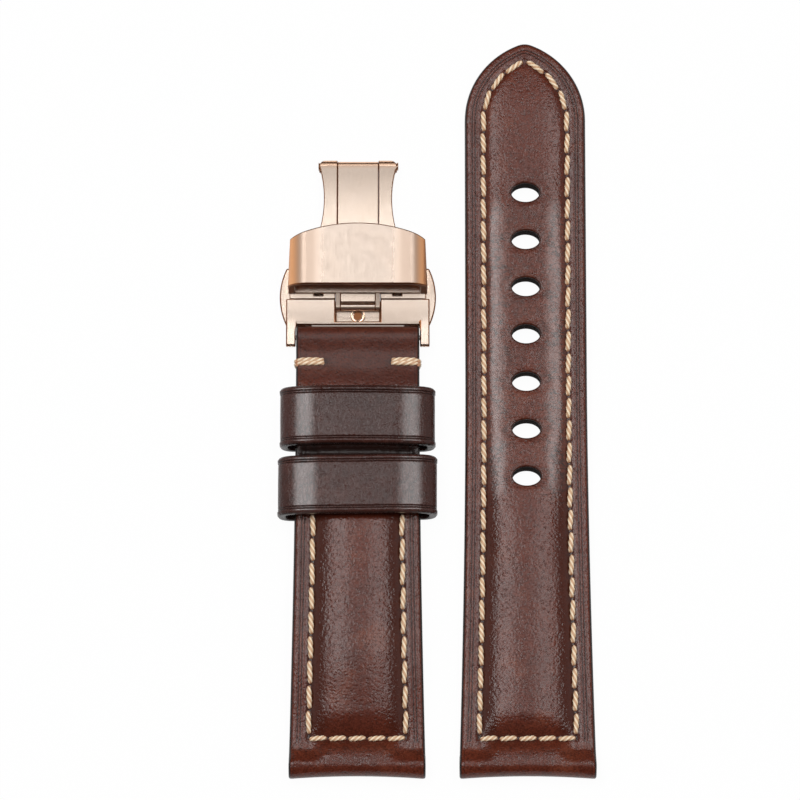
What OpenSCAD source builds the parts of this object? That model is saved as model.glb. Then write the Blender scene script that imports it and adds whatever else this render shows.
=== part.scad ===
// Padded leather watch strap: a short half with two keepers and a folding clasp, and a long half.
// x runs across the strap, y along it toward the clasp and the tip, z up from the table.
// Each half is drawn with s along it, from its end at the watch case.

/* [Leather halves] */
// Width of both halves at the watch case
lug_w = 22; // [21.5:0.1:23]
// Width of the short half at the clasp
short_tail_w = 20; // [19:0.1:20.6]
// Width of the long half before its tip
long_tail_w = 19.7; // [18.5:0.1:20]
// Length of the short half, from the watch case to the fold round the clasp bar
short_len = 74.3; // [73:0.1:78]
// Length of the long half
long_len = 122; // [118:0.5:128]
// Distance between the centre lines of the two halves as they lie
pair_pitch = 27.3; // [27:0.1:32]
// Distance from the watch case over which each half narrows
taper_len = 66; // [55:1:70]
// Thickness of the lining
lining_t = 1.2; // [1.1:0.05:1.3]
// Thickness of the top leather
leather_t = 1.6; // [1.4:0.05:1.7]
// Height of the padding at the centre line
pad_h = 1.3; // [0.9:0.05:1.4]
// Width of the flat border outside the padding
border_w = 3.5; // [3.4:0.05:3.8]
// Width over which the padding rises to its full height
shoulder_w = 2.6; // [2.2:0.1:3]
// Height of the tip's arch
tip_h = 13; // [11:0.5:15]
// Radius at the point of the tip
tip_r = 3; // [2:0.1:4]
// Height at which the short half lies above the table under its keepers
lift_h = 1.4; // [1.4:0.05:1.6]

/* [Bars and loops] */
// Diameter of the bore for the watch case's bar
lug_bore_d = 2; // [1.8:0.05:2.1]
// Leather round the watch case's bar
lug_wrap_t = 1.1; // [1:0.05:1.2]
// Diameter of the clasp bar's tube
bar_d = 1.8; // [1.7:0.05:1.9]
// Bore of the clasp bar's tube
bar_bore_d = 1.3; // [1.2:0.05:1.35]
// Diameter of the clasp bar's tips
bar_tip_d = 0.8; // [0.7:0.05:0.9]
// Leather round the clasp bar
bar_wrap_t = 0.9; // [0.8:0.05:0.95]
// Height of the clasp bar above the table
bar_z = 2.2; // [2.1:0.05:2.4]

/* [Holes] */
// Number of strap holes
hole_count = 7; // [5:1:8]
// Distance from one hole to the next
hole_pitch = 7.9; // [7:0.1:8.5]
// Distance of the outermost hole from the tip
hole_from_tip = 25.4; // [23:0.1:28]
// Width of a hole across the strap
hole_w = 4.6; // [4.2:0.1:5]
// Height of a hole along the strap
hole_h = 3.1; // [2.95:0.05:3.4]

/* [Thread] */
// Width of a stitch
thread_w = 0.75; // [0.6:0.05:0.8]
// Distance of the seam from the edge
seam_inset = 3; // [2.8:0.05:3.05]
// Distance of the seam across the strap from the watch case's end
seam_s = 6.4; // [6:0.1:7]
// Spacing of the stitches on the short half
short_stitch_pitch = 4; // [3.6:0.1:4.4]
// Spacing of the stitches on the long half
long_stitch_pitch = 3.7; // [3.4:0.1:4.2]
// Gap between two stitches
stitch_gap = 0.45; // [0.3:0.05:0.6]
// Distance of the bar tacks from the clasp bar
tack_from_bar = 4.2; // [4:0.1:4.6]
// Length of a bar tack
tack_len = 4.8; // [4:0.1:5.5]
// Width of a bar tack
tack_w = 1.3; // [1:0.05:1.5]

/* [Keepers] */
// Outer width of the fixed keeper
fixed_keeper_w = 25; // [24.5:0.1:25.4]
// Outer width of the floating keeper
floating_keeper_w = 25.6; // [25.2:0.1:26.2]
// Outer height of both keepers
keeper_h = 7.1; // [7.1:0.05:8]
// Thickness of the keepers' leather
keeper_t = 1.3; // [1.2:0.05:1.3]
// Length of each keeper along the strap
keeper_len = 9.6; // [9:0.1:10]
// Radius of the keepers' outer corners
keeper_r = 2.4; // [2:0.1:3]
// Distance of the fixed keeper's far edge from the clasp bar
keeper_from_bar = 8.95; // [8.5:0.05:9.4]
// Gap between the two keepers as they lie
keeper_gap = 1.8; // [1.2:0.1:2.5]

/* [Clasp blades] */
// Radius of the blades' inner face, which follows the wrist
arch_r = 60; // [58:0.5:64]
// Height of that face at the middle of the clasp
arch_top_z = 2; // [1.95:0.05:2.4]
// Distance between the clasp bar and the middle of the arch
bar_to_middle = 15.75; // [15.5:0.05:16]
// Thickness of the lower blade
blade_t = 1.9; // [1.8:0.05:2]
// Thickness of the middle blade
tongue_t = 1.3; // [1.2:0.05:1.4]
// Width of the middle blade
tongue_w = 6.5; // [6:0.1:6.8]
// Distance between the two hinges
hinge_span = 23.9; // [23.5:0.1:24.1]
// Distance between the clasp bar and the far hinge
bar_to_far_hinge = 28.95; // [28.8:0.05:29.2]
// Width of the lower blade's fork where it leaves the cover
fork_w = 12.7; // [12.4:0.1:13.2]
// Depth of the waist in each side of the fork
waist_depth = 0.8; // [0.4:0.05:0.95]
// Radius of the far hinge's knuckles
far_knuckle_r = 1; // [0.95:0.05:1.05]
// Diameter of the far hinge's pin
far_pin_d = 1.1; // [1:0.05:1.2]
// Radius of the near hinge's barrel
near_barrel_r = 0.75; // [0.7:0.05:0.78]
// Diameter of the near hinge's pin
near_pin_d = 0.8; // [0.7:0.05:0.85]
// Thickness of the cover's hinge ears
ear_t = 0.75; // [0.65:0.05:0.8]

/* [Clasp frame] */
// Outer width of the frame
frame_w = 23.3; // [23.2:0.1:24]
// Distance between the frame's ears
frame_gap_w = 20.2; // [20.1:0.05:20.6]
// Distance between the clasp bar and the frame plate's near edge
bar_to_plate = 2.05; // [2.05:0.05:2.3]
// Length of the frame plate along the strap
plate_len = 4.2; // [4.1:0.05:4.4]
// Radius of the frame's ears round the clasp bar
ear_r = 1.5; // [1.4:0.05:1.6]
// Height of the frame plate's top above the lower blade
plate_proud = 0.3; // [0.2:0.05:0.4]
// Rim of the frame plate below its notch
notch_rim = 0.6; // [0.5:0.05:0.7]
// Width of the button housing
housing_w = 22.2; // [21.6:0.1:22.6]
// Thickness of the frame's web in the notch
web_t = 0.5; // [0.45:0.05:0.55]
// Thickness of the lower blade's tab under the web
tab_t = 0.5; // [0.4:0.05:0.5]
// Diameter of the rivet's head
rivet_head_d = 2.2; // [2:0.1:2.3]

/* [Clasp cover] */
// Width of the cover at its near edge
cover_w = 22.6; // [22.5:0.1:23]
// Width of the cover at its far corners
cover_far_w = 21.9; // [21.7:0.1:22.3]
// Inner width of the cover
cover_gap_w = 20.3; // [20.1:0.1:20.6]
// Length of the cover at its corners
cover_len = 7.8; // [7.6:0.1:8.4]
// Rise of the cover's far edge at its middle
cover_bow = 2.4; // [2:0.1:2.8]
// Thickness of the cover's plate
cover_t = 1.2; // [1.1:0.05:1.3]
// Height of the passage for the strap
passage_h = 4.4; // [4.3:0.05:4.8]
// Thickness of the cover's floor
floor_t = 0.8; // [0.7:0.05:0.9]
// Radius of the cover's outer corners, seen from its end
cover_r = 3; // [2.4:0.1:3.4]
// Gap between the frame plate and the cover
cover_gap = 0.8; // [0.7:0.05:1]
// Diameter of the strap stud
stud_d = 2.8; // [2.4:0.05:2.85]
// Height of the strap stud
stud_h = 2; // [1.8:0.1:2.4]
// Distance of the stud from the cover's near edge
stud_from_edge = 4.6; // [4.2:0.1:5]

/* [Push buttons] */
// Distance between the clasp bar and the middle of the buttons
bar_to_button = 6.65; // [6.55:0.05:6.75]
// Reach of each button from the centre line
button_reach = 12.7; // [12.5:0.05:12.8]
// Radius of the buttons' outer face
button_r = 10.5; // [10:0.1:12]
// Width of the buttons along the strap
button_w = 9.5; // [9:0.1:9.6]
// Thickness of the buttons
button_t = 1.15; // [1:0.05:1.2]
// Travel of a button
button_stroke = 0.7; // [0.5:0.05:0.75]
// Distance of the cover's catches from the centre line
catch_x = 6.4; // [6.3:0.05:6.5]
// Width of a catch
catch_w = 1.2; // [1:0.05:1.3]
// Diameter of the buttons' springs
button_spring_d = 1; // [0.9:0.05:1.05]

/* [Fits] */
// Radial clearance of a bar or pin that turns
running_gap = 0.05; // [0.03:0.01:0.08]
// Radial clearance of a pin or rivet that sits still
fit_gap = 0.02; // [0.01:0.01:0.03]
// Gap between metal pieces that move past each other
slide_gap = 0.1; // [0.08:0.01:0.12]
// Gap between a button and its pocket
pocket_gap = 0.08; // [0.06:0.01:0.1]

/* [Hidden] */
$fn = 64;
LEATHER = "#5a3026";
LINING = "#6e4a3a";
KEEPER = "#38201b";
THREAD = "#ebcda5";
PADDING = "#b8a58c";
ROSE_GOLD = "#dcae92";
STEEL = "#b9bcc0";
eps = 0.01;
reach = 100; // longer than any cut that goes right through

// Places of the two halves, which centre the pair on the origin
short_x = (floating_keeper_w / 2 - lug_w / 2 - pair_pitch) / 2;
long_x = short_x + pair_pitch;

// Leather
edge_t = lining_t + leather_t;
nose_r = lug_bore_d / 2 + lug_wrap_t;
nose_drop = 0.15; // the skin meets the nose this far below its top
loop_bore_r = bar_d / 2 + running_gap;
loop_r = loop_bore_r + bar_wrap_t;
bar_s = short_len - loop_r;
tack_s = bar_s - tack_from_bar;
tack_near_s = tack_s - tack_w / 2; // the leather is level under the tacks
tack_far_s = tack_s + tack_w / 2;
tack_z = 0.75; // underside of the leather at the tacks
thread_rest = 0.06; // the stitches lie this far above the leather, which is curved along them
bare_t = 2.6; // both leathers together at the tacks
lining_stop = 1.6; // the lining ends this far before the clasp bar
taper_power = 1.8; // how the narrowing dies away from the watch case's end
pad_rise_len = 3; // length over which the padding rises at its ends
pad_from_seam = 0.6;
pad_start_s = seam_s + pad_from_seam;
crown_edge = 0.82; // height of the padding at the strap's edge, as a share of its height at the middle
tip_start = long_len - tip_h;
keeper_far_s = bar_s - keeper_from_bar;
keeper_near_s = keeper_far_s - keeper_len;
floating_far_s = keeper_near_s - keeper_gap;
lift_from = 5; // the short half rises from the table from here
lift_to = 21; // and has its full lift here
pad_before_keeper = 0.8; // the padding ends this far inside the fixed keeper
short_pad_end = keeper_far_s - pad_before_keeper;
pad_before_tip_seam = 1;
long_pad_end = long_len - seam_inset - pad_before_tip_seam;
nose_flat_s = 1.3 * nose_r; // the skin is level over the watch case's bar up to here
bulge_end_s = seam_s - thread_w; // and is down to the level of the seams here

function clamp01(t) = min(1, max(0, t));
function ease(t) = let (c = clamp01(t)) c * c * (3 - 2 * c);
function rise(t) = 1 - pow(1 - clamp01(t), 2);
function blend(a, b, t) = a + (b - a) * ease(t);
function steps(a, b, n) = [for (i = [0:n - 1]) a + (b - a) * i / n];
function narrowing(s) = pow(max(0, 1 - s / taper_len), taper_power);

// Outline: half the width at s. The tip is two side arcs with a small arc at the point.
function short_half_w(s) = (short_tail_w + (lug_w - short_tail_w) * narrowing(s)) / 2;
tip_centre_h = tip_h - tip_r;
long_hw = long_tail_w / 2;
tip_side_r = (pow(long_hw, 2) + pow(tip_centre_h, 2) - pow(tip_r, 2)) / (2 * (long_hw - tip_r));
tip_off = tip_side_r - long_hw;
tip_join = tip_start + tip_centre_h * tip_side_r / (tip_side_r - tip_r);
function tip_half_w(s, inset) =
    sqrt(max(0, pow(tip_side_r - inset, 2) - pow(s - tip_start, 2))) - tip_off;
function point_half_w(s) = sqrt(max(0, pow(tip_r, 2) - pow(s - long_len + tip_r, 2)));
function long_half_w(s) =
    s <= tip_start ? (long_tail_w + (lug_w - long_tail_w) * narrowing(s)) / 2
    : s <= tip_join ? tip_half_w(s, 0) : point_half_w(s);

// Distance of a point from the edge of the leather
function short_inset(x, s) = short_half_w(s) - abs(x);
function long_inset(x, s) =
    s <= tip_start ? long_half_w(s) - abs(x)
    : tip_side_r - norm([abs(x) + tip_off, s - tip_start]);

// Height of the padding under the top leather
function crown(x, w) = 1 - (1 - crown_edge) * pow(x / w, 2);
function pad(x, s, inset, w, end) =
    pad_h * crown(x, w) * rise((inset - border_w) / shoulder_w)
    * rise((s - pad_start_s) / pad_rise_len) * rise((end - s) / pad_rise_len);

// Underside of each half, and the thickness of its two leathers without the padding
function lift(s) = blend(0, lift_h, (s - lift_from) / (lift_to - lift_from));
function short_under(s) =
    s <= keeper_far_s ? lift(s)
    : s <= tack_far_s ? blend(lift_h, tack_z, (s - keeper_far_s) / (tack_near_s - keeper_far_s))
    : blend(tack_z, bar_z - loop_r + nose_drop, (s - tack_far_s) / (bar_s - tack_far_s));
function short_thick(s) =
    s <= keeper_far_s ? edge_t
    : s <= tack_far_s ? blend(edge_t, bare_t, (s - keeper_far_s) / (tack_near_s - keeper_far_s))
    : blend(bare_t, 2 * (loop_r - nose_drop), (s - tack_far_s) / (bar_s - tack_far_s));
function nose_bulge(s) =
    blend(2 * nose_r - nose_drop - edge_t, 0, (s - nose_flat_s) / (bulge_end_s - nose_flat_s));

// Rows along each half
pad_full_s = pad_start_s + pad_rise_len;
short_pad_fall_s = short_pad_end - pad_rise_len;
long_pad_fall_s = long_pad_end - pad_rise_len;
short_rows = concat(steps(nose_r, bulge_end_s, 4), [bulge_end_s], steps(pad_start_s, pad_full_s, 3),
                    steps(pad_full_s, lift_to, 4), steps(lift_to, short_pad_fall_s, 5),
                    steps(short_pad_fall_s, short_pad_end, 3), steps(short_pad_end, keeper_far_s, 1),
                    steps(keeper_far_s, tack_near_s, 4), [tack_near_s], steps(tack_far_s, bar_s, 4), [bar_s]);
long_rows = concat(steps(nose_r, bulge_end_s, 4), [bulge_end_s], steps(pad_start_s, pad_full_s, 3),
                   steps(pad_full_s, taper_len, 6), steps(taper_len, tip_start, 3),
                   steps(tip_start, long_pad_fall_s, 4), steps(long_pad_fall_s, long_pad_end, 3),
                   steps(long_pad_end, tip_join, 4), steps(tip_join, long_len, 3), [long_len - eps]);

// Places across each half as distances from its edge, which close up toward the tip
insets = [0, border_w, border_w + shoulder_w / 3, border_w + shoulder_w * 2 / 3, border_w + shoulder_w];
tip_shares = [1, 0.3, 0.24, 0.18, 0.12];
pad_col = 2; // the padding's own outline is this place
function mirrored(xs) = concat([for (x = xs) -x], [0], [for (i = [len(xs) - 1:-1:0]) xs[i]]);
function short_cols(s, first) =
    mirrored([for (k = [first:len(insets) - 1]) short_half_w(s) - insets[k]]);
function long_col(s, k) =
    k == 0 ? long_half_w(s)
    : max(tip_shares[k] * long_half_w(s),
          s <= tip_start ? long_half_w(s) - insets[k] : tip_half_w(s, insets[k]));
function long_cols(s, first) = mirrored([for (k = [first:len(insets) - 1]) long_col(s, k)]);

// A solid between a grid of upper points and a grid of lower ones
module slab(upper, lower) {
    rows = len(upper);
    cols = len(upper[0]);
    count = rows * cols;
    function up(i, j) = i * cols + j;
    function dn(i, j) = count + i * cols + j;
    function quad(a, b, c, d) = [[a, b, c], [a, c, d]];
    body = [for (i = [0:rows - 2]) for (j = [0:cols - 2]) each concat(
        quad(up(i, j), up(i + 1, j), up(i + 1, j + 1), up(i, j + 1)),
        quad(dn(i, j), dn(i, j + 1), dn(i + 1, j + 1), dn(i + 1, j)))];
    walls = [for (i = [0:rows - 2]) each concat(
        quad(up(i, 0), dn(i, 0), dn(i + 1, 0), up(i + 1, 0)),
        quad(up(i, cols - 1), up(i + 1, cols - 1), dn(i + 1, cols - 1), dn(i, cols - 1)))];
    ends = [for (j = [0:cols - 2]) each concat(
        quad(up(0, j), up(0, j + 1), dn(0, j + 1), dn(0, j)),
        quad(up(rows - 1, j), dn(rows - 1, j), dn(rows - 1, j + 1), up(rows - 1, j + 1)))];
    polyhedron([for (r = upper) each r, for (r = lower) each r], concat(body, walls, ends), convexity = 6);
}

// Placing and extruding
module on_short() translate([short_x, -long_len / 2, 0]) children();
module on_long() translate([long_x, -long_len / 2, 0]) children();
module across(x0, x1) translate([x0, 0, 0]) rotate([90, 0, 90]) linear_extrude(x1 - x0) children();
module along(s0, s1) translate([0, s1, 0]) rotate([90, 0, 0]) linear_extrude(s1 - s0) children();
module rod(s, z, r, x0, x1) across(x0, x1) translate([s, z]) circle(r);
module both_sides() {
    children();
    mirror([1, 0, 0]) children();
}

// A half-round stitch on the leather between two points
module stitch(p, q, w) {
    d = q - p;
    translate(p) rotate([0, 0, atan2(d.y, d.x)]) rotate([0, -atan2(d.z, norm([d.x, d.y])), 0])
        across(0, norm(d)) intersection() {
            circle(w / 2);
            translate([-w, 0]) square([2 * w, w]);
        }
}

module lug_bore() rod(nose_r, nose_r, lug_bore_d / 2, -reach, reach);
module clasp_loop_bore() rod(bar_s, bar_z, loop_bore_r, -reach, reach);

// Short half
function short_top(x, s) =
    let (w = short_half_w(s)) short_under(s) + short_thick(s) + nose_bulge(s)
    + pad(x, s, short_inset(x, s), w, short_pad_end);
function short_mid(x, s) =
    short_under(s) + lining_t * short_thick(s) / edge_t
    + pad(x, s, short_inset(x, s), short_half_w(s), short_pad_end);

module short_top_leather() color(LEATHER) on_short() difference() {
    union() {
        slab([for (s = short_rows) [for (x = short_cols(s, 0)) [x, s, short_top(x, s)]]],
             [for (s = short_rows) [for (x = short_cols(s, 0)) [x, s, short_mid(x, s)]]]);
        rod(nose_r, nose_r, nose_r, -short_half_w(nose_r), short_half_w(nose_r));
        rod(bar_s, bar_z, loop_r, -short_tail_w / 2, short_tail_w / 2);
    }
    lug_bore();
    clasp_loop_bore();
}

module short_filler() color(PADDING) on_short() {
    rows = [for (s = short_rows) if (s > pad_start_s && s < short_pad_end) s];
    slab([for (s = rows) [for (x = short_cols(s, pad_col)) [x, s, short_mid(x, s)]]],
         [for (s = rows) [for (x = short_cols(s, pad_col)) [x, s, short_under(s) + lining_t]]]);
}

module short_lining() color(LINING) on_short() difference() {
    rows = [for (s = short_rows) if (s < bar_s - lining_stop) s];
    slab([for (s = rows) let (top = short_under(s) + lining_t * short_thick(s) / edge_t)
              [for (x = short_cols(s, 0)) [x, s, top]]],
         [for (s = rows) [for (x = short_cols(s, 0)) [x, s, short_under(s)]]]);
    rod(nose_r, nose_r, nose_r, -reach, reach);
    rod(bar_s, bar_z, loop_r, -reach, reach);
}

// Places along the seam of the short half, which runs to the fixed keeper's middle
short_seam_end = keeper_near_s + keeper_len / 2;
short_stitches = floor((short_seam_end - seam_s) / short_stitch_pitch);
function short_seam(s, side) =
    [side * (short_half_w(s) - seam_inset), s, short_under(s) + edge_t + thread_rest];
cross_stitches = 5;

module cross_seam(w, z) {
    pitch = 2 * w / cross_stitches;
    for (i = [0:cross_stitches - 1]) let (x = -w + pitch * i)
        stitch([x + stitch_gap / 2, seam_s, z], [x + pitch - stitch_gap / 2, seam_s, z], thread_w);
}

module short_edge_stitches() color(THREAD) on_short() {
    for (side = [-1, 1]) for (i = [0:short_stitches - 1])
        let (s = seam_s + thread_w + i * short_stitch_pitch)
        stitch(short_seam(s, side), short_seam(s + short_stitch_pitch - stitch_gap, side), thread_w);
    cross_seam(short_half_w(seam_s) - seam_inset, short_under(seam_s) + edge_t + thread_rest);
}

module short_bar_tacks() color(THREAD) on_short() both_sides() {
    edge = short_half_w(tack_s);
    top = tack_z + bare_t + thread_rest;
    stitch([edge - tack_len, tack_s, top], [edge, tack_s, top], tack_w);
    translate([edge, tack_s, tack_z]) linear_extrude(bare_t) intersection() {
        translate([0, -tack_w / 2]) square([thread_w / 2, tack_w]);
        circle(tack_w / 2);
    }
}

// Keepers
module rounded_block(w, h, r) {
    translate([-w / 2 + r, 0]) square([w - 2 * r, h]);
    translate([-w / 2, r]) square([w, h - 2 * r]);
    for (x = [-w / 2 + r, w / 2 - r], z = [r, h - r]) translate([x, z]) circle(r);
}

module keeper(w, bottom_t, far_s) along(far_s - keeper_len, far_s) difference() {
    rounded_block(w, keeper_h, keeper_r);
    translate([0, bottom_t])
        rounded_block(w - 2 * keeper_t, keeper_h - keeper_t - bottom_t, keeper_r - keeper_t);
}

module fixed_keeper() color(KEEPER) on_short() keeper(fixed_keeper_w, lift_h, keeper_far_s);
module floating_keeper() color(KEEPER) on_short() keeper(floating_keeper_w, keeper_t, floating_far_s);

// Clasp bar: a tube with a sprung tip at each end
bar_tube_inset = 0.2; // the tube ends this far inside the leather's edges
bar_tube_w = short_tail_w - 2 * bar_tube_inset;
bar_tip_seat = 1; // depth of the tips in the frame's ears
bar_tip_reach = frame_gap_w / 2 + bar_tip_seat;
bar_flange_t = 1;
bar_flange_depth = 1.6; // depth of the flanges in the tube
bar_flange_x = bar_tube_w / 2 - bar_flange_depth;
module clasp_bar_tube() color(STEEL) on_short() difference() {
    rod(bar_s, bar_z, bar_d / 2, -bar_tube_w / 2, bar_tube_w / 2);
    rod(bar_s, bar_z, bar_bore_d / 2, -reach, reach);
}
module clasp_bar_pins() color(STEEL) on_short() both_sides() {
    rod(bar_s, bar_z, bar_tip_d / 2, bar_flange_x, bar_tip_reach);
    rod(bar_s, bar_z, bar_bore_d / 2, bar_flange_x - bar_flange_t, bar_flange_x);
}
module clasp_bar_spring() color(STEEL) on_short() difference() {
    inner = bar_flange_x - bar_flange_t;
    rod(bar_s, bar_z, bar_bore_d / 2, -inner, inner);
    rod(bar_s, bar_z, bar_bore_d / 4, -reach, reach);
}

// Clasp: every blade lies between two cylinders about one axis, so they nest as the wrist curves
mid_s = bar_s + bar_to_middle;
arch_z = arch_top_z - arch_r;
base_top_r = arch_r + blade_t;
floor_r = base_top_r + slide_gap;
floor_top_r = floor_r + floor_t;
plate_top_r = base_top_r + plate_proud;
plate_s = bar_s + bar_to_plate;
plate_far_s = plate_s + plate_len;
cover_s = plate_far_s + cover_gap;
cover_corner_s = cover_s + cover_len;
far_s = bar_s + bar_to_far_hinge;
near_s = far_s - hinge_span;
button_s = bar_s + bar_to_button;
far_r = arch_r + blade_t / 2;
near_proud = 0.4; // height of the near hinge's barrel above the frame plate
near_r = plate_top_r - near_barrel_r + near_proud;
slot_hw = tongue_w / 2 + slide_gap;
barrel_inset = 0.45; // the middle blade narrows by this much on each side at the near hinge
barrel_hw = tongue_w / 2 - barrel_inset;
ear_in = barrel_hw + running_gap;
notch_hw = ear_in + ear_t + running_gap;

function arch_at(s, r) = arch_z + sqrt(pow(r, 2) - pow(s - mid_s, 2));
far_z = arch_at(far_s, far_r);
near_z = arch_at(near_s, near_r);

arch_fn = 720;
module arch_rod(r) rod(mid_s, arch_z, r, -reach / 2, reach / 2, $fn = arch_fn);
module arched(inner, outer) intersection() {
    difference() {
        arch_rod(outer);
        arch_rod(inner);
    }
    linear_extrude(cover_top_z) children();
}
module on_arch(s, r)
    translate([0, mid_s, arch_z]) rotate([-asin((s - mid_s) / r), 0, 0]) translate([0, 0, r]) children();

// Frame: a plate with an ear at each side, which is seen from the side here and ends inside the plate
ear_skin = 0.1; // the ear's outline ends this far inside the plate's faces
module frame_ear() {
    inner_s = plate_s + plate_len / 4;
    translate([bar_s, bar_z]) circle(ear_r);
    polygon([[bar_s, bar_z - ear_r], [bar_s, bar_z + ear_r],
             [inner_s, arch_at(inner_s, plate_top_r - ear_skin)],
             [inner_s, arch_at(inner_s, arch_r + ear_skin)]]);
}
module notch_plan() translate([-notch_hw, plate_s + notch_rim]) square([2 * notch_hw, reach]);
module clasp_frame() color(ROSE_GOLD) on_short() difference() {
    union() {
        across(-frame_w / 2, -frame_gap_w / 2) frame_ear();
        across(frame_gap_w / 2, frame_w / 2) frame_ear();
        arched(arch_r, plate_top_r) translate([-frame_w / 2, plate_s]) square([frame_w, plate_len]);
    }
    arched(arch_r + web_t, plate_top_r + plate_proud) notch_plan();
    rod(bar_s, bar_z, bar_tip_d / 2 + running_gap, -bar_tip_reach - slide_gap, bar_tip_reach + slide_gap);
    both_sides() button_pocket();
    rivet_shank(fit_gap);
}

// Lower blade: button housing, fork with its slot and waist, and the far hinge's knuckles
housing_wall = 0.7; // wall beyond the buttons
housing_far_s = button_s + button_w / 2 + housing_wall;
notch_under_cover = 2.2; // the notch runs this far under the cover
notch_far_s = cover_s + notch_under_cover;
tab_hw = notch_hw - slide_gap;
tab_s = plate_s + notch_rim;
tab_foot_s = notch_far_s + slide_gap;
tab_foot_len = 1.2;
tab_foot_w = 2; // the tab's foot runs this far under each side of the blade
fork_from_s = cover_corner_s + cover_bow;
waist_half = (far_s - fork_from_s) / 2;
waist_r = (pow(waist_half, 2) + pow(waist_depth, 2)) / (2 * waist_depth);
module base_plan() difference() {
    union() {
        translate([-housing_w / 2, plate_far_s]) square([housing_w, housing_far_s - plate_far_s]);
        translate([-fork_w / 2, housing_far_s - eps]) square([fork_w, far_s - housing_far_s + eps]);
    }
    translate([-slot_hw, near_s]) square([2 * slot_hw, reach]);
    translate([-notch_hw, plate_s]) square([2 * notch_hw, notch_far_s - plate_s]);
    for (side = [-1, 1])
        translate([side * (fork_w / 2 - waist_depth + waist_r), fork_from_s + waist_half]) circle(waist_r);
}
module base_blade() color(ROSE_GOLD) on_short() difference() {
    union() {
        arched(arch_r, base_top_r) base_plan();
        both_sides() rod(far_s, far_z, far_knuckle_r, slot_hw, fork_w / 2);
        arched(arch_r - tab_t, arch_r) {
            translate([-tab_hw, tab_s]) square([2 * tab_hw, tab_foot_s + tab_foot_len - tab_s]);
            translate([-slot_hw - tab_foot_w, tab_foot_s]) square([2 * (slot_hw + tab_foot_w), tab_foot_len]);
        }
        both_sides() arched(arch_r - tab_t, arch_r + tab_t)
            translate([slot_hw, tab_foot_s]) square([tab_foot_w, tab_foot_len]);
    }
    rod(far_s, far_z, far_knuckle_r + slide_gap, -slot_hw, slot_hw);
    rod(far_s, far_z, far_pin_d / 2 + fit_gap, -reach, reach);
    both_sides() {
        button_pocket();
        difference() {
            translate([catch_x - catch_w / 2 - slide_gap, catch_s - catch_window_hw, 0])
                cube([catch_w + 2 * slide_gap, 2 * catch_window_hw, cover_top_z]);
            arch_rod(button_mid_r);
        }
    }
    rivet_shank(fit_gap);
}

rivet_s = plate_s + notch_rim + rivet_head_d / 2 + running_gap;
rivet_head_t = 0.3;
rivet_d = 1.4;
module rivet_shank(gap) translate([0, rivet_s, 0]) cylinder(r = rivet_d / 2 + gap, h = cover_top_z);
module frame_rivet() color(ROSE_GOLD) on_short() {
    intersection() {
        rivet_shank(0);
        difference() {
            arch_rod(arch_r + web_t + rivet_head_t / 2);
            arch_rod(arch_r - tab_t);
        }
    }
    intersection() {
        translate([0, rivet_s, 0]) cylinder(d = rivet_head_d, h = cover_top_z);
        difference() {
            arch_rod(arch_r + web_t + rivet_head_t);
            arch_rod(arch_r + web_t + fit_gap);
        }
    }
}

far_head_t = 0.35;
far_head_lip = 0.1;
module far_hinge_pin() color(ROSE_GOLD) on_short() {
    rod(far_s, far_z, far_pin_d / 2, -fork_w / 2, fork_w / 2);
    both_sides() rod(far_s, far_z, far_pin_d / 2 + far_head_lip, fork_w / 2, fork_w / 2 + far_head_t);
}

// Push buttons, each in a pocket square to the arch
catch_s = cover_s + catch_w / 2 + slide_gap;
catch_ds = catch_s - button_s;
catch_window_hw = 0.95; // half the length of the window round a catch
arm_hw = 1.6; // half the width of a button's arm
button_in_x = 8.4; // inner face of a button's thick part
arm_web = 0.65; // the arm's end, whose edge goes under the catch
arm_in_x = catch_x - catch_w / 2 - running_gap - arm_web;
spring_ds = -3.2; // place of the spring along its button
spring_seat = 0.4; // depth of the spring's seat in its button
button_spring_len = 2.4;
spring_in_x = button_in_x + spring_seat - button_spring_len;
button_mid_r = arch_r + blade_t / 2;

module button_plan() {
    difference() {
        intersection() {
            translate([button_reach - button_r, 0]) circle(button_r);
            translate([button_in_x, -button_w / 2]) square([reach, button_w]);
        }
        translate([button_in_x - eps, spring_ds - button_spring_d / 2 - pocket_gap])
            square([spring_seat, button_spring_d + 2 * pocket_gap]);
    }
    difference() {
        translate([arm_in_x, catch_ds - arm_hw]) square([button_in_x - arm_in_x + eps, 2 * arm_hw]);
        translate([arm_in_x + arm_web, catch_ds - catch_window_hw])
            square([catch_w + running_gap + button_stroke + slide_gap, 2 * catch_window_hw]);
    }
}
module pocket_plan() {
    in_x = button_in_x - button_stroke - pocket_gap;
    translate([in_x, -button_w / 2 - pocket_gap]) square([reach, button_w + 2 * pocket_gap]);
    translate([arm_in_x - button_stroke - pocket_gap, catch_ds - arm_hw - pocket_gap])
        square([reach, 2 * (arm_hw + pocket_gap)]);
    translate([spring_in_x, spring_ds - button_spring_d / 2 - pocket_gap])
        square([reach, button_spring_d + 2 * pocket_gap]);
}
module button_pocket() {
    height = button_t + 2 * pocket_gap;
    on_arch(button_s, button_mid_r) translate([0, 0, -height / 2]) linear_extrude(height) pocket_plan();
}
module button()
    on_arch(button_s, button_mid_r) translate([0, 0, -button_t / 2]) linear_extrude(button_t) button_plan();
module button_spring()
    on_arch(button_s, button_mid_r) translate([0, spring_ds, 0]) difference() {
        rod(0, 0, button_spring_d / 2, spring_in_x, spring_in_x + button_spring_len - eps);
        rod(0, 0, button_spring_d / 4, 0, reach);
    }
module right_button() color(ROSE_GOLD) on_short() button();
module left_button() color(ROSE_GOLD) on_short() mirror([1, 0, 0]) button();
module right_button_spring() color(STEEL) on_short() button_spring();
module left_button_spring() color(STEEL) on_short() mirror([1, 0, 0]) button_spring();

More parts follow.
